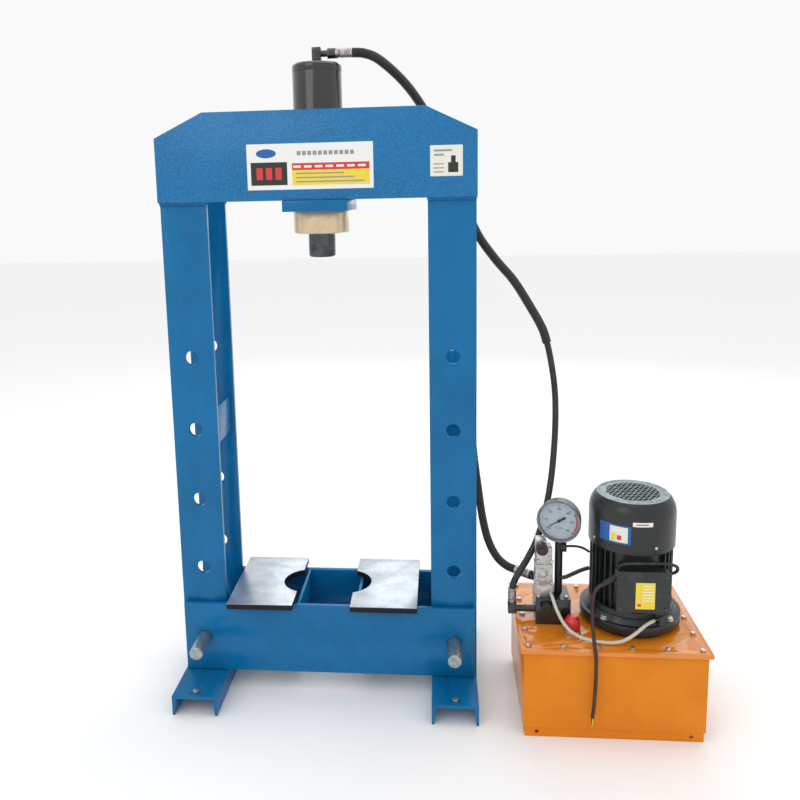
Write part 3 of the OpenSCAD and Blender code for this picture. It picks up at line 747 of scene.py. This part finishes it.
class PRESS_OT_cords(bpy.types.Operator):
    """Makes the hoses, the return tube and the cables, with the ferrules on the hoses"""

    bl_idname = "press.cords"
    bl_label = "Hoses and cables"

    def execute(self, context):
        along_x = Matrix.Rotation(math.radians(90), 4, "Y")
        slanted = Matrix.Rotation(math.radians(141), 4, "Z") @ along_x @ Matrix.Translation((0, 0, 0.028))
        cap_port = Vector((PRESS.x + 48 * MM, PRESS.y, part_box("cylinder_cap")[1].z + 25 * MM))
        rod_port = Vector((PRESS.x + 31 * MM, PRESS.y + 135 * MM, 1.400))
        cap_foot = UNIT + Vector((-0.235, -0.012, 0.277))
        rod_foot = UNIT + Vector((-0.160, 0.018, 0.329))
        cap_top, rod_top, cap_end, rod_end = [
            crimped("ferrule_" + name, length, radius, Matrix.Translation(place) @ turn)
            for name, length, radius, place, turn in (
                ("cap_end", 0.044, 0.0125, cap_port, along_x),
                ("rod_end", 0.048, 0.0125, rod_port, along_x),
                ("cap_hose_foot", 0.038, 0.011, cap_foot, Matrix()),
                ("rod_hose_foot", 0.048, 0.0125, rod_foot, slanted),
            )
        ]
        sleeve, _, _ = tube_along("hose_sleeve", HOSE_A_TOP, 0.012, "sleeve", 8)
        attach(sleeve, "frame")
        lead("cap_end_hose", HOSE_A_TOP + HOSE_A_LOWER, 0.017, "rubber", "hose_a",
             pieces=(sleeve, cap_top, cap_end))
        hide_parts("hose_a")
        lead("rod_end_hose", HOSE_B, 0.022, "sleeve", "hose_b", pieces=(rod_top, rod_end))
        lead("milky_return_tube", RETURN_TUBE, 0.0085, "tube", "return_tube")
        lead("mains_lead", MAINS, 0.009, "mains", "mains_cable", pieces=self.strands())
        lead("switch_cable", SWITCH_CABLE, 0.006, "rubber", "valve_cables")
        lead("valve_cable", VALVE_CABLE, 0.010, "rubber", "valve_cables")
        lead("loop_cable", LOOP_CABLE, 0.008, "rubber", "valve_cables")
        return {"FINISHED"}

    def strands(self):
        """The bare ends of the mains lead's wires, in their coloured sheaths."""
        out = []
        foot = PRESS + Vector(MAINS[-1]) * MM
        for name, finish, dx, dy in (("brown", "coil", -2.0, 0.5), ("blue", "ink_blue", 1.6, 1.4),
                                     ("yellow", "ink_yellow", 0.4, -2.0)):
            lean = Matrix.Rotation(dx * 0.03, 4, "Y") @ Matrix.Rotation(-dy * 0.03, 4, "X")
            sheath = rod(0.0012, 0.018, (0, 0, -0.009), None, 16)
            bare = rod(0.0007, 0.008, (0, 0, -0.021), None, 12)
            paint(sheath, finish)
            paint(bare, "copper")
            wire = bevel(join([sheath, bare], "wire"), 0.0002, 1)
            place = Matrix.Translation(foot + Vector((dx * MM, dy * MM, 0.001)))
            out.append(assemble([wire], "mains_wire_" + name, None, at=place @ lean))
        return out


class PRESS_OT_frame(bpy.types.Operator):
    """Finishes the uprights, crown, bolster and feet, and lays the weld beads"""

    bl_idname = "press.frame"
    bl_label = "Frame and welds"

    def execute(self, context):
        sizes = context.scene.press_sizes
        for node in ("left_post_front_plate", "left_post_rear_plate", "right_post_front_plate",
                     "right_post_rear_plate", "stiffener_plates", "cylinder_bolster", "foot_channels"):
            refined(node, "blue", sizes.plate_edge)
        for node in ("crown_front_plate", "crown_rear_plate"):
            refined(node, "blue_hammer", sizes.plate_edge)
        refined("foot_bolts", "zinc", 0.0007)
        self.welds(sizes.weld_ripple)
        return {"FINISHED"}

    def welds(self, pitch):
        """Rows of overlapping ripples along each fillet; those at the feet are thinner."""
        random.seed(11)
        low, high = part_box("left_post_front_plate")
        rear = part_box("left_post_rear_plate")[1].y
        crown_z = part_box("crown_front_plate")[0].z
        foot_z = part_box("foot_channels")[1].z
        bpy.ops.mesh.primitive_uv_sphere_add(segments=12, ring_count=8, radius=1.0)
        ripple = bpy.context.active_object
        width = high.x - low.x - 0.006
        count = int(width / pitch)
        beads = []
        for side in (-1, 1):
            start_x = PRESS.x + side * POST_X - width / 2
            for face_y, out in ((low.y, -1), (rear, 1)):
                for corner_z, rise, fat in ((foot_z, 1, 0.36), (crown_z, -1, 1.0)):
                    offset = 0.0026 * fat
                    lean = Matrix.Rotation(-out * rise * math.radians(45), 4, "X")
                    for i in range(count + 1):
                        size = random.uniform(0.92, 1.06)
                        x = start_x + i * width / count
                        place = Matrix.Translation((x, face_y + out * offset, corner_z + rise * offset))
                        width_now, height_now = 0.0078 * size * fat, 0.0052 * size * fat
                        shape = Matrix.Diagonal((0.0042 * size, width_now, height_now, 1.0))
                        bead = twin(ripple)
                        bead.matrix_world = place @ lean @ Matrix.Rotation(0.5, 4, "Y") @ shape
                        beads.append(bead)
        bpy.data.objects.remove(ripple)
        assemble(beads, "weld_ripples", "blue", 60.0, stands_for="weld_beads")


class PRESS_OT_bed(bpy.types.Operator):
    """Finishes the bed, its pins and the two loose bench plates"""

    bl_idname = "press.bed"
    bl_label = "Bed"

    def execute(self, context):
        for node in ("bed_front_plate", "bed_rear_plate", "bed_cross_plates"):
            refined(node, "blue", context.scene.press_sizes.plate_edge)
        for side in ("left", "right"):
            refined(side + "_pin", "zinc", 0.0008)
        for side in ("left", "right"):
            refined(side + "_bench_plate", "bench", 0.0009)
        return {"FINISHED"}


class PRESS_OT_cylinder(bpy.types.Operator):
    """Finishes the cylinder, its ring and ram, and the elbows on its ports"""

    bl_idname = "press.cylinder"
    bl_label = "Cylinder"

    def execute(self, context):
        refined("cylinder_barrel", "black_gloss", 0.0012)
        refined("cylinder_cap", "black_gloss", 0.0016)
        refined("gland_ring", "ring", 0.0014)
        refined("ram", "ram", 0.0010)
        refined("port_elbows", "fitting", 0.0009)
        coat("rod_bush", "bronze")
        coat("rod_wiper piston_seals", "rubber")
        coat("piston", "steel")
        return {"FINISHED"}


def patch(x0, x1, z0, z1, y, finish):
    """A flat rectangle facing the front, in metres."""
    middle = Matrix.Translation(((x0 + x1) / 2, y, (z0 + z1) / 2))
    return flat(middle @ FACING_FRONT @ Matrix.Diagonal((x1 - x0, z1 - z0, 1, 1)), finish)


def card(x0, x1, z0, z1, y, finish, thickness, corner):
    """A thin sticker with round corners whose face is at y."""
    piece = block((x1 - x0, thickness, z1 - z0), Vector(((x0 + x1) / 2, y + thickness / 2, (z0 + z1) / 2)))
    edit(piece)
    bpy.ops.mesh.select_mode(type="EDGE")
    bpy.ops.mesh.select_all(action="DESELECT")
    leave_edit()
    for edge in piece.data.edges:
        a, b = (piece.data.vertices[i].co for i in edge.vertices)
        edge.select = abs(a.y - b.y) > thickness / 2
    bpy.ops.object.mode_set(mode="EDIT")
    bpy.ops.mesh.bevel(offset=corner, segments=4)
    leave_edit()
    paint(piece, finish)
    return piece


class Sticker:
    """A card that faces the front, with patches of ink at fractions of its width and height."""

    def __init__(self, x0, z0, wide, tall, face, finish, thickness=0.0005, corner=0.002):
        self.x0, self.z0, self.wide, self.tall = x0, z0, wide, tall
        self.ink_y = face - INK_LIFT
        self.parts = [card(x0, x0 + wide, z0, z0 + tall, face, finish, thickness, corner)]

    def at(self, across, up):
        return self.x0 + across * self.wide, self.z0 + up * self.tall

    def ink(self, left, bottom, width, height, finish, lift=0.0):
        x0, z0 = self.at(left, bottom)
        x1, z1 = self.at(left + width, bottom + height)
        self.parts.append(patch(x0, x1, z0, z1, self.ink_y - lift, finish))


class PRESS_OT_labels(bpy.types.Operator):
    """Puts the plain labels on the crown: blocks of colour and rows of bars, with no words"""

    bl_idname = "press.labels"
    bl_label = "Crown labels"

    def execute(self, context):
        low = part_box("crown_front_plate")[0]
        self.rating_label(low)
        self.care_label(low)
        return {"FINISHED"}

    def rating_label(self, low):
        label = Sticker(PRESS.x - 0.167, low.z + 0.027, 0.315, 0.112, low.y - 0.0006, "white")
        label.ink(0.03, 0.10, 0.29, 0.50, "ink")
        for i in range(3):
            label.ink(0.075 + i * 0.075, 0.22, 0.05, 0.26, "ink_red", 0.0001)
        label.ink(0.36, 0.42, 0.61, 0.15, "ink_red")
        label.ink(0.36, 0.09, 0.61, 0.33, "ink_yellow")
        for i in range(7):
            label.ink(0.37 + 0.085 * i, 0.47, 0.06, 0.05, "white", 0.0001)
        for row in range(3):
            label.ink(0.39, 0.15 + 0.09 * row, 0.54 - 0.08 * row, 0.03, "ink_grey", 0.0001)
        for i in range(11):
            label.ink(0.40 + i * 0.042, 0.74, 0.03, 0.09, "ink_grey")
        bpy.ops.mesh.primitive_circle_add(vertices=40, radius=1.0, fill_type="NGON")
        oval = bpy.context.active_object
        x, z = label.at(0.155, 0.79)
        place = Matrix.Translation((x, label.ink_y, z))
        put(oval, place @ FACING_FRONT @ Matrix.Diagonal((0.025, 0.011, 1, 1)))
        paint(oval, "ink_blue")
        assemble([*label.parts, oval], "crown_label", None)

    def care_label(self, low):
        label = Sticker(PRESS.x + 0.287, low.z + 0.051, 0.079, 0.074, low.y - 0.0006, "cream")
        for row, length in enumerate((0.55, 0.30)):
            label.ink(0.12, 0.80 - 0.14 * row, length, 0.06, "ink_grey")
        for row in range(3):
            label.ink(0.10, 0.12 + 0.13 * row, 0.32, 0.035, "ink_grey")
        label.ink(0.55, 0.12, 0.31, 0.32, "ink")
        label.ink(0.64, 0.44, 0.14, 0.22, "ink")
        assemble(label.parts, "care_label", None)


class PRESS_OT_tank(bpy.types.Operator):
    """Finishes the oil tank, its lid, bolts and filler"""

    bl_idname = "press.tank"
    bl_label = "Oil tank"

    def execute(self, context):
        refined("oil_tank", "orange", context.scene.press_sizes.sheet_edge)
        refined("tank_skids", "orange", 0.001)
        refined("tank_lid", "lid", 0.0014)
        refined("lid_bolts", "steel", 0.0006)
        refined("filler_neck", "steel", 0.0008)
        self.filler_cap()
        coat("suction_strainer pump_idler_gear", "steel")
        coat("pump_body", "cast")
        return {"FINISHED"}

    def filler_cap(self):
        """A ribbed breather cap."""
        low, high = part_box("filler_cap")
        place = over((low + high) / 2, low.z)
        shell = put(turned([(17.6, 0.0), (18.4, 1.0), (18.4, 20.0), (18.0, 24.0), (16.0, 28.0), (13.0, 30.6),
                            (12.6, 33.4), (11.6, 34.0)]), place)
        rib = (0.0030, 0.0026, 0.019)
        ribs = spread(24, lambda: bevel(block(rib, (0.0184, 0, 0.0115)), 0.0006), at=place)
        cap = bevel(join([shell, *ribs], "cap"), 0.0006, 1, 50.0)
        assemble([cap], "filler_cap_ribbed", "red", stands_for="filler_cap", body="breather")


class PRESS_OT_motor(bpy.types.Operator):
    """Finishes the motor, its cowl with the grille, and its stickers"""

    bl_idname = "press.motor"
    bl_label = "Motor"

    def execute(self, context):
        refined("motor_flange", "motor", 0.0018)
        refined("motor_frame", "motor", 0.0006, 1)
        coat("motor_end_shield", "cast")
        coat("motor_bearings motor_rotor", "steel")
        coat("stator_core", "core")
        refined("motor_fan", "black_plastic", 0.0006)
        self.cowl()
        self.grille()
        self.flange_bolts()
        self.stickers()
        return {"FINISHED"}

    def cowl(self):
        low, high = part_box("fan_cowl")
        h = (high.z - low.z) / MM
        shell = turned([(106.0, 0.0), (107.0, 0.6), (107.0, h - 42.0), (106.0, h - 33.0), (103.0, h - 22.0),
                        (97.0, h - 11.0), (91.0, h - 4.0), (88.0, h - 2.2)], 96, False)
        thicken(shell, 0.0018)
        assemble([shell], "cowl_shell", "cowl", 40.0, over(MOTOR, low.z), "fan_cowl")
        outwards = Matrix.Rotation(math.radians(90), 4, "Y")
        screws = spread(4, lambda: bevel(rod(0.0045, 0.003, (0.1068, 0, 0), outwards, 24, 0.0036), 0.0006),
                        20, over(MOTOR, low.z + 0.018))
        assemble(screws, "cowl_screws", "steel")

    def grille(self):
        """A pressed disc with a honeycomb of six-sided holes inside a plain rim."""
        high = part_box("fan_cowl")[1]
        pitch, hole = 0.0126, 0.0052
        bpy.ops.mesh.primitive_circle_add(vertices=6, radius=pitch / math.sqrt(3), fill_type="NGON")
        cell = bpy.context.active_object
        edit(cell)
        bpy.ops.mesh.inset(thickness=pitch / 2 - hole, depth=0.0)
        bpy.ops.mesh.delete(type="FACE")
        leave_edit()
        cells = []
        for i in range(-8, 9):
            for j in range(-8, 9):
                x = (j + 0.5 * (i % 2)) * pitch
                y = i * pitch * math.sqrt(3) / 2
                if math.hypot(x, y) < 0.071:
                    one = twin(cell)
                    one.matrix_world = Matrix.Translation((x, y, 0))
                    cells.append(one)
        bpy.data.objects.remove(cell)
        mesh = join(cells, "honeycomb")
        place_in_mesh(mesh)
        edit(mesh)
        bpy.ops.mesh.remove_doubles(threshold=0.0002)
        leave_edit()
        rim = turned([(66.0, 0.0), (76.0, 0.01), (79.0, -1.2), (82.0, -1.2), (84.0, 0.4), (88.6, 0.4),
                      (89.4, -0.6)], 96, False)
        plate = join([mesh, rim], "plate")
        thicken(plate, 0.0012)
        assemble([plate], "cowl_grille", "grille", 30.0, over(MOTOR, high.z - 0.0016))

    def flange_bolts(self):
        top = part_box("motor_flange")[0].z + 36 * MM

        def bolt():
            washer = rod(0.0100, 0.002, (0.1130, 0, 0.0010), None, 32)
            head = rod(0.0080, 0.007, (0.1130, 0, 0.0055), None, 6)
            return bevel(join([washer, head], "bolt"), 0.0005)

        assemble(spread(4, bolt, 45, over(MOTOR, top)), "flange_bolts", "steel")

    def stickers(self):
        radius = 0.1073
        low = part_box("fan_cowl")[0].z
        areas = (
            ("ink_blue", -148, -104, 0.026, 0.074, 0.0),
            ("cream", -132, -108, 0.030, 0.070, 0.0002),
            ("ink_yellow", -131, -125, 0.032, 0.052, 0.0004),
            ("ink_red", -121, -116, 0.036, 0.048, 0.0004),
            ("white", -102, -76, 0.075, 0.086, 0.0),
            ("ink_red", -98, -82, 0.079, 0.082, 0.0002),
        )
        parts = [self.curved(radius + lift, start, end, low + z0, low + z1, finish)
                 for finish, start, end, z0, z1, lift in areas]
        assemble(parts, "motor_sticker", None)

    def curved(self, radius, start, end, z0, z1, finish):
        """The part of a cylinder about the motor's axis between two angles in degrees."""
        centre = (MOTOR.x, MOTOR.y, (z0 + z1) / 2)
        bpy.ops.mesh.primitive_cylinder_add(vertices=180, radius=radius, depth=z1 - z0,
                                            end_fill_type="NOTHING", location=centre)
        piece = bpy.context.active_object
        place_in_mesh(piece)
        keep_between(piece, start, end, MOTOR)
        paint(piece, finish)
        return piece


class PRESS_OT_terminal_box(bpy.types.Operator):
    """Finishes the terminal box, its lid, screws and yellow sticker"""

    bl_idname = "press.terminal_box"
    bl_label = "Terminal box"

    def execute(self, context):
        refined("terminal_box", "motor", 0.004, 3)
        refined("terminal_box_lid", "motor", 0.0035, 3)
        refined("cable_gland", "black_plastic", 0.0008)
        low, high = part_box("terminal_box_lid")
        inset = 0.011
        screws = [
            bevel(rod(0.0046, 0.0035, (x, low.y, z), FACING_FRONT, 24, 0.0038), 0.0006)
            for x in (low.x + inset, high.x - inset) for z in (low.z + inset, high.z - inset)
        ]
        assemble(screws, "lid_screws", "fitting")
        sticker = Sticker(low.x + 0.046, low.z + 0.012, 0.046, 0.068, low.y - 0.0005, "ink_yellow",
                          0.0004, 0.0015)
        for row in range(6):
            sticker.ink(0.36, 0.30 + 0.11 * row, 0.56, 0.045, "cream")
        sticker.ink(0.10, 0.10, 0.18, 0.10, "ink_red")
        assemble(sticker.parts, "box_sticker", None)
        return {"FINISHED"}


class PRESS_OT_valves(bpy.types.Operator):
    """Finishes the manifold, valve, pressure switch and relief knob"""

    bl_idname = "press.valves"
    bl_label = "Valves"

    def execute(self, context):
        refined("valve_manifold", "black_gloss", 0.0010)
        self.valve_body()
        refined("pressure_switch", "black_plastic", 0.0014)
        coat("valve_spool", "steel")
        self.knob()
        self.coil()
        self.screws()
        return {"FINISHED"}

    def knob(self):
        low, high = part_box("relief_knob")
        middle = (low + high) / 2
        body = turned([(7.6, 0.0), (7.6, 20.0), (12.6, 20.2), (13.4, 21.0), (13.4, 34.0), (12.4, 35.4),
                       (9.0, 35.9), (8.0, 34.8)])
        ribs = spread(20, lambda: bevel(block((0.0014, 0.0022, 0.011), (0.0134, 0, 0.0275)), 0.0005, 1))
        assemble([body, *ribs], "relief_knob_ribbed", "black_plastic",
                 at=Matrix.Translation((middle.x, high.y, middle.z)) @ FACING_FRONT,
                 stands_for="relief_knob", body="relief_screw")

    def valve_body(self):
        """A stack of silver blocks, with the joints between them and a barb for the return tube."""
        origin = Vector((UNIT.x - 0.157, UNIT.y - 0.016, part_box("directional_valve")[0].z))
        parts = []
        for corner, size in (
            ((-22, -24, 0), (44, 40, 33)), ((-21, -23, 33), (42, 38, 3)), ((-22, -24, 36), (44, 40, 52)),
            ((-20, -22, 88), (40, 36, 4)), ((-20, -24, 92), (40, 38, 42)), ((-20, -24, 134), (26, 38, 19)),
        ):
            size = Vector(size) * MM
            parts.append(bevel(block(size, origin + Vector(corner) * MM + size / 2), 0.0012))
        barb = [(4.0, 0.0), (4.0, 4.0), (3.0, 5.0), (4.0, 6.5), (3.0, 8.5), (4.0, 10.0), (2.8, 12.0)]
        boss = [(12.0, 0.0), (12.0, 3.0), (9.0, 5.0), (9.0, 9.0), (6.0, 10.5)]
        for profile, sides, x, z in ((barb, 32, 18, 13), (boss, 40, -4, 66)):
            front = Matrix.Translation(origin + Vector((x, -24, z)) * MM)
            parts.append(put(turned(profile, sides), front @ FACING_FRONT))
        assemble(parts, "valve_blocks", "silver", stands_for="directional_valve")

    def coil(self):
        """The solenoid: a dark moulded coil with its nut, facing the front."""
        centre = Vector((UNIT.x - 0.165, VALVE_FRONT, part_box("directional_valve")[0].z + 0.138))
        case = turned([(14.6, 0.0), (15.0, 0.6), (15.0, 22.0), (14.2, 23.4), (11.0, 24.0)], 48)
        nut = bevel(rod(0.0086, 0.005, (0, 0, 0.0262), None, 6), 0.0005)
        plug = bevel(block((0.018, 0.010, 0.016), (0, 0.0085, 0.010)), 0.0012)
        assemble([case, nut, plug], "solenoid_coil", "coil",
                 at=Matrix.Translation(centre) @ FACING_FRONT, stands_for="directional_valve")

    def screws(self):
        heads = [
            bevel(rod(0.0042, 0.004, (UNIT.x + x, VALVE_FRONT - 0.002, z), FACING_FRONT, 24), 0.0006)
            for x in (-0.173, -0.137) for z in (0.346, 0.404)
        ]
        heads += [bevel(rod(0.0050, 0.005, (UNIT.x + x, VALVE_FRONT, 0.3075), None, 24), 0.0007)
                  for x in (-0.170, -0.100)]
        assemble(heads, "valve_screws", "steel")


class PRESS_OT_gauge(bpy.types.Operator):
    """Finishes the pressure gauge: case, bezel, dial with its figures, needle and glass"""

    bl_idname = "press.gauge"
    bl_label = "Pressure gauge"

    def execute(self, context):
        self.front = (
            Matrix.Translation((UNIT.x + GAUGE_X, UNIT.y - 0.014, 0.507))
            @ Matrix.Rotation(math.radians(-18), 4, "Z") @ FACING_FRONT
        )
        self.case()
        self.dial()
        self.needle()
        return {"FINISHED"}

    def case(self):
        case = turned([(46.0, -20.0), (50.0, -19.4), (52.0, -17.0), (52.0, 10.6), (55.2, 12.0), (56.0, 13.4),
                       (56.0, 17.6), (55.0, 19.4), (53.0, 20.0), (50.6, 19.2), (49.8, 17.0), (49.8, 11.0),
                       (2.0, 11.0)], 96)
        put(case, self.front)
        foot = UNIT + Vector((GAUGE_X, -0.006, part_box("pressure_switch")[1].z + 0.0005))
        stem = rod(0.0070, 0.014, foot + Vector((0, 0, 0.007)), None, 32)
        nut = bevel(rod(0.0105, 0.008, foot + Vector((0, 0, 0.004)), None, 6), 0.0006)
        assemble([case, stem, nut], "gauge_case", "bezel", 40.0,
                 stands_for="pressure_gauge")
        glass = turned([(49.6, 16.6), (49.6, 18.0), (30.0, 18.6), (2.0, 18.8)], 96, False)
        assemble([glass], "gauge_glass", "glass", 60.0, self.front)

    def dial(self):
        card_z = 0.0112
        bpy.ops.mesh.primitive_circle_add(vertices=96, radius=0.0492, fill_type="NGON",
                                          location=(0, 0, card_z))
        face = bpy.context.active_object
        place_in_mesh(face)
        paint(face, "dial")
        parts = [face]
        ink_z = card_z + 0.0003
        start, sweep, figures = 225.0, 270.0, 6
        for i in range(figures * 10 + 1):
            angle = math.radians(start - sweep * i / (figures * 10))
            length, width = 0.0025, 0.0004
            if i % 10 == 0:
                length, width = 0.0055, 0.0009
            elif i % 5 == 0:
                length = 0.0038
            place = Matrix.Rotation(angle, 4, "Z") @ Matrix.Translation((0.0430 - length / 2, 0, ink_z))
            parts.append(flat(place @ Matrix.Diagonal((length, width, 1, 1)), "ink"))
        for i in range(figures + 1):
            angle = math.radians(start - sweep * i / figures)
            bpy.ops.object.text_add()
            figure = bpy.context.active_object
            figure.data.body = str(i * 10)
            figure.data.align_x = "CENTER"
            figure.data.align_y = "CENTER"
            figure.data.size = 0.0098
            figure.location = (0.0318 * math.cos(angle), 0.0318 * math.sin(angle), ink_z)
            bpy.ops.object.convert(target="MESH")
            figure = bpy.context.active_object
            place_in_mesh(figure)
            paint(figure, "ink")
            parts.append(figure)
        parts.append(self.sector(0.0436, 0.0470, 30.0, -45.0, ink_z, "ink_red"))
        for width, y in ((0.018, -0.016), (0.026, -0.0205)):
            place = Matrix.Translation((0, y, ink_z))
            parts.append(flat(place @ Matrix.Diagonal((width, 0.0012, 1, 1)), "ink_grey"))
        assemble(parts, "gauge_dial", None, at=self.front)

    def sector(self, inner, outer, start, end, z, finish):
        bpy.ops.mesh.primitive_circle_add(vertices=120, radius=outer, location=(0, 0, z))
        arc = bpy.context.active_object
        place_in_mesh(arc)
        edit(arc)
        bpy.ops.mesh.extrude_region_move()
        ratio = inner / outer
        bpy.ops.transform.resize(value=(ratio, ratio, 1.0), center_override=(0, 0, z))
        leave_edit()
        keep_between(arc, end, start, Vector())
        edit(arc)
        bpy.ops.mesh.normals_make_consistent(inside=False)
        leave_edit()
        paint(arc, finish)
        return arc

    def needle(self):
        hub = turned([(3.6, 11.5), (3.8, 12.0), (3.8, 15.2), (3.0, 15.8), (0.6, 16.0)], 40)
        strip_z, thickness = 0.0142, 0.0007
        parts = [hub]
        for length, width, middle, ratio in ((0.043, 0.0032, 0.0182, 0.2), (0.0165, 0.0046, -0.0115, 1.5)):
            strip = block((length, width, thickness), (middle, 0, strip_z))
            end = math.copysign(1.0, middle)
            pick_faces(strip, lambda c, n: n.x * end > 0.5)
            bpy.ops.transform.resize(value=(1.0, ratio, 1.0), center_override=(middle, 0, strip_z))
            leave_edit()
            parts.append(strip)
        turn = Matrix.Rotation(math.radians(214), 4, "Z")
        assemble(parts, "gauge_pointer", "ink", at=self.front @ turn,
                 stands_for="gauge_needle", body="pointer")


class PRESS_PT_panel(bpy.types.Panel):
    """Lists the press's sizes, colours and makers"""

    bl_idname = "PRESS_PT_panel"
    bl_label = "Shop press"
    bl_space_type = "VIEW_3D"
    bl_region_type = "UI"
    bl_category = "Press"

    def draw(self, context):
        column = self.layout.column()
        for group in (context.scene.press_looks, context.scene.press_sizes):
            for name in group.__annotations__:
                column.prop(group, name)
        for operator in MAKERS:
            column.operator(operator.bl_idname)


MAKERS = (
    PRESS_OT_stage, PRESS_OT_cords, PRESS_OT_frame, PRESS_OT_bed, PRESS_OT_cylinder, PRESS_OT_labels,
    PRESS_OT_tank, PRESS_OT_motor, PRESS_OT_terminal_box, PRESS_OT_valves, PRESS_OT_gauge,
)
CLASSES = (PressLooks, PressSizes, *MAKERS, PRESS_PT_panel)


def register():
    for one in CLASSES:
        bpy.utils.register_class(one)
    bpy.types.Scene.press_looks = bpy.props.PointerProperty(type=PressLooks)
    bpy.types.Scene.press_sizes = bpy.props.PointerProperty(type=PressSizes)


def unregister():
    del bpy.types.Scene.press_sizes
    del bpy.types.Scene.press_looks
    for one in reversed(CLASSES):
        bpy.utils.unregister_class(one)


def main():
    register()
    make_finishes(bpy.context.scene.press_looks)
    for operator in MAKERS:
        group, name = operator.bl_idname.split(".")
        getattr(getattr(bpy.ops, group), name)()


if __name__ == "__main__":
    main()
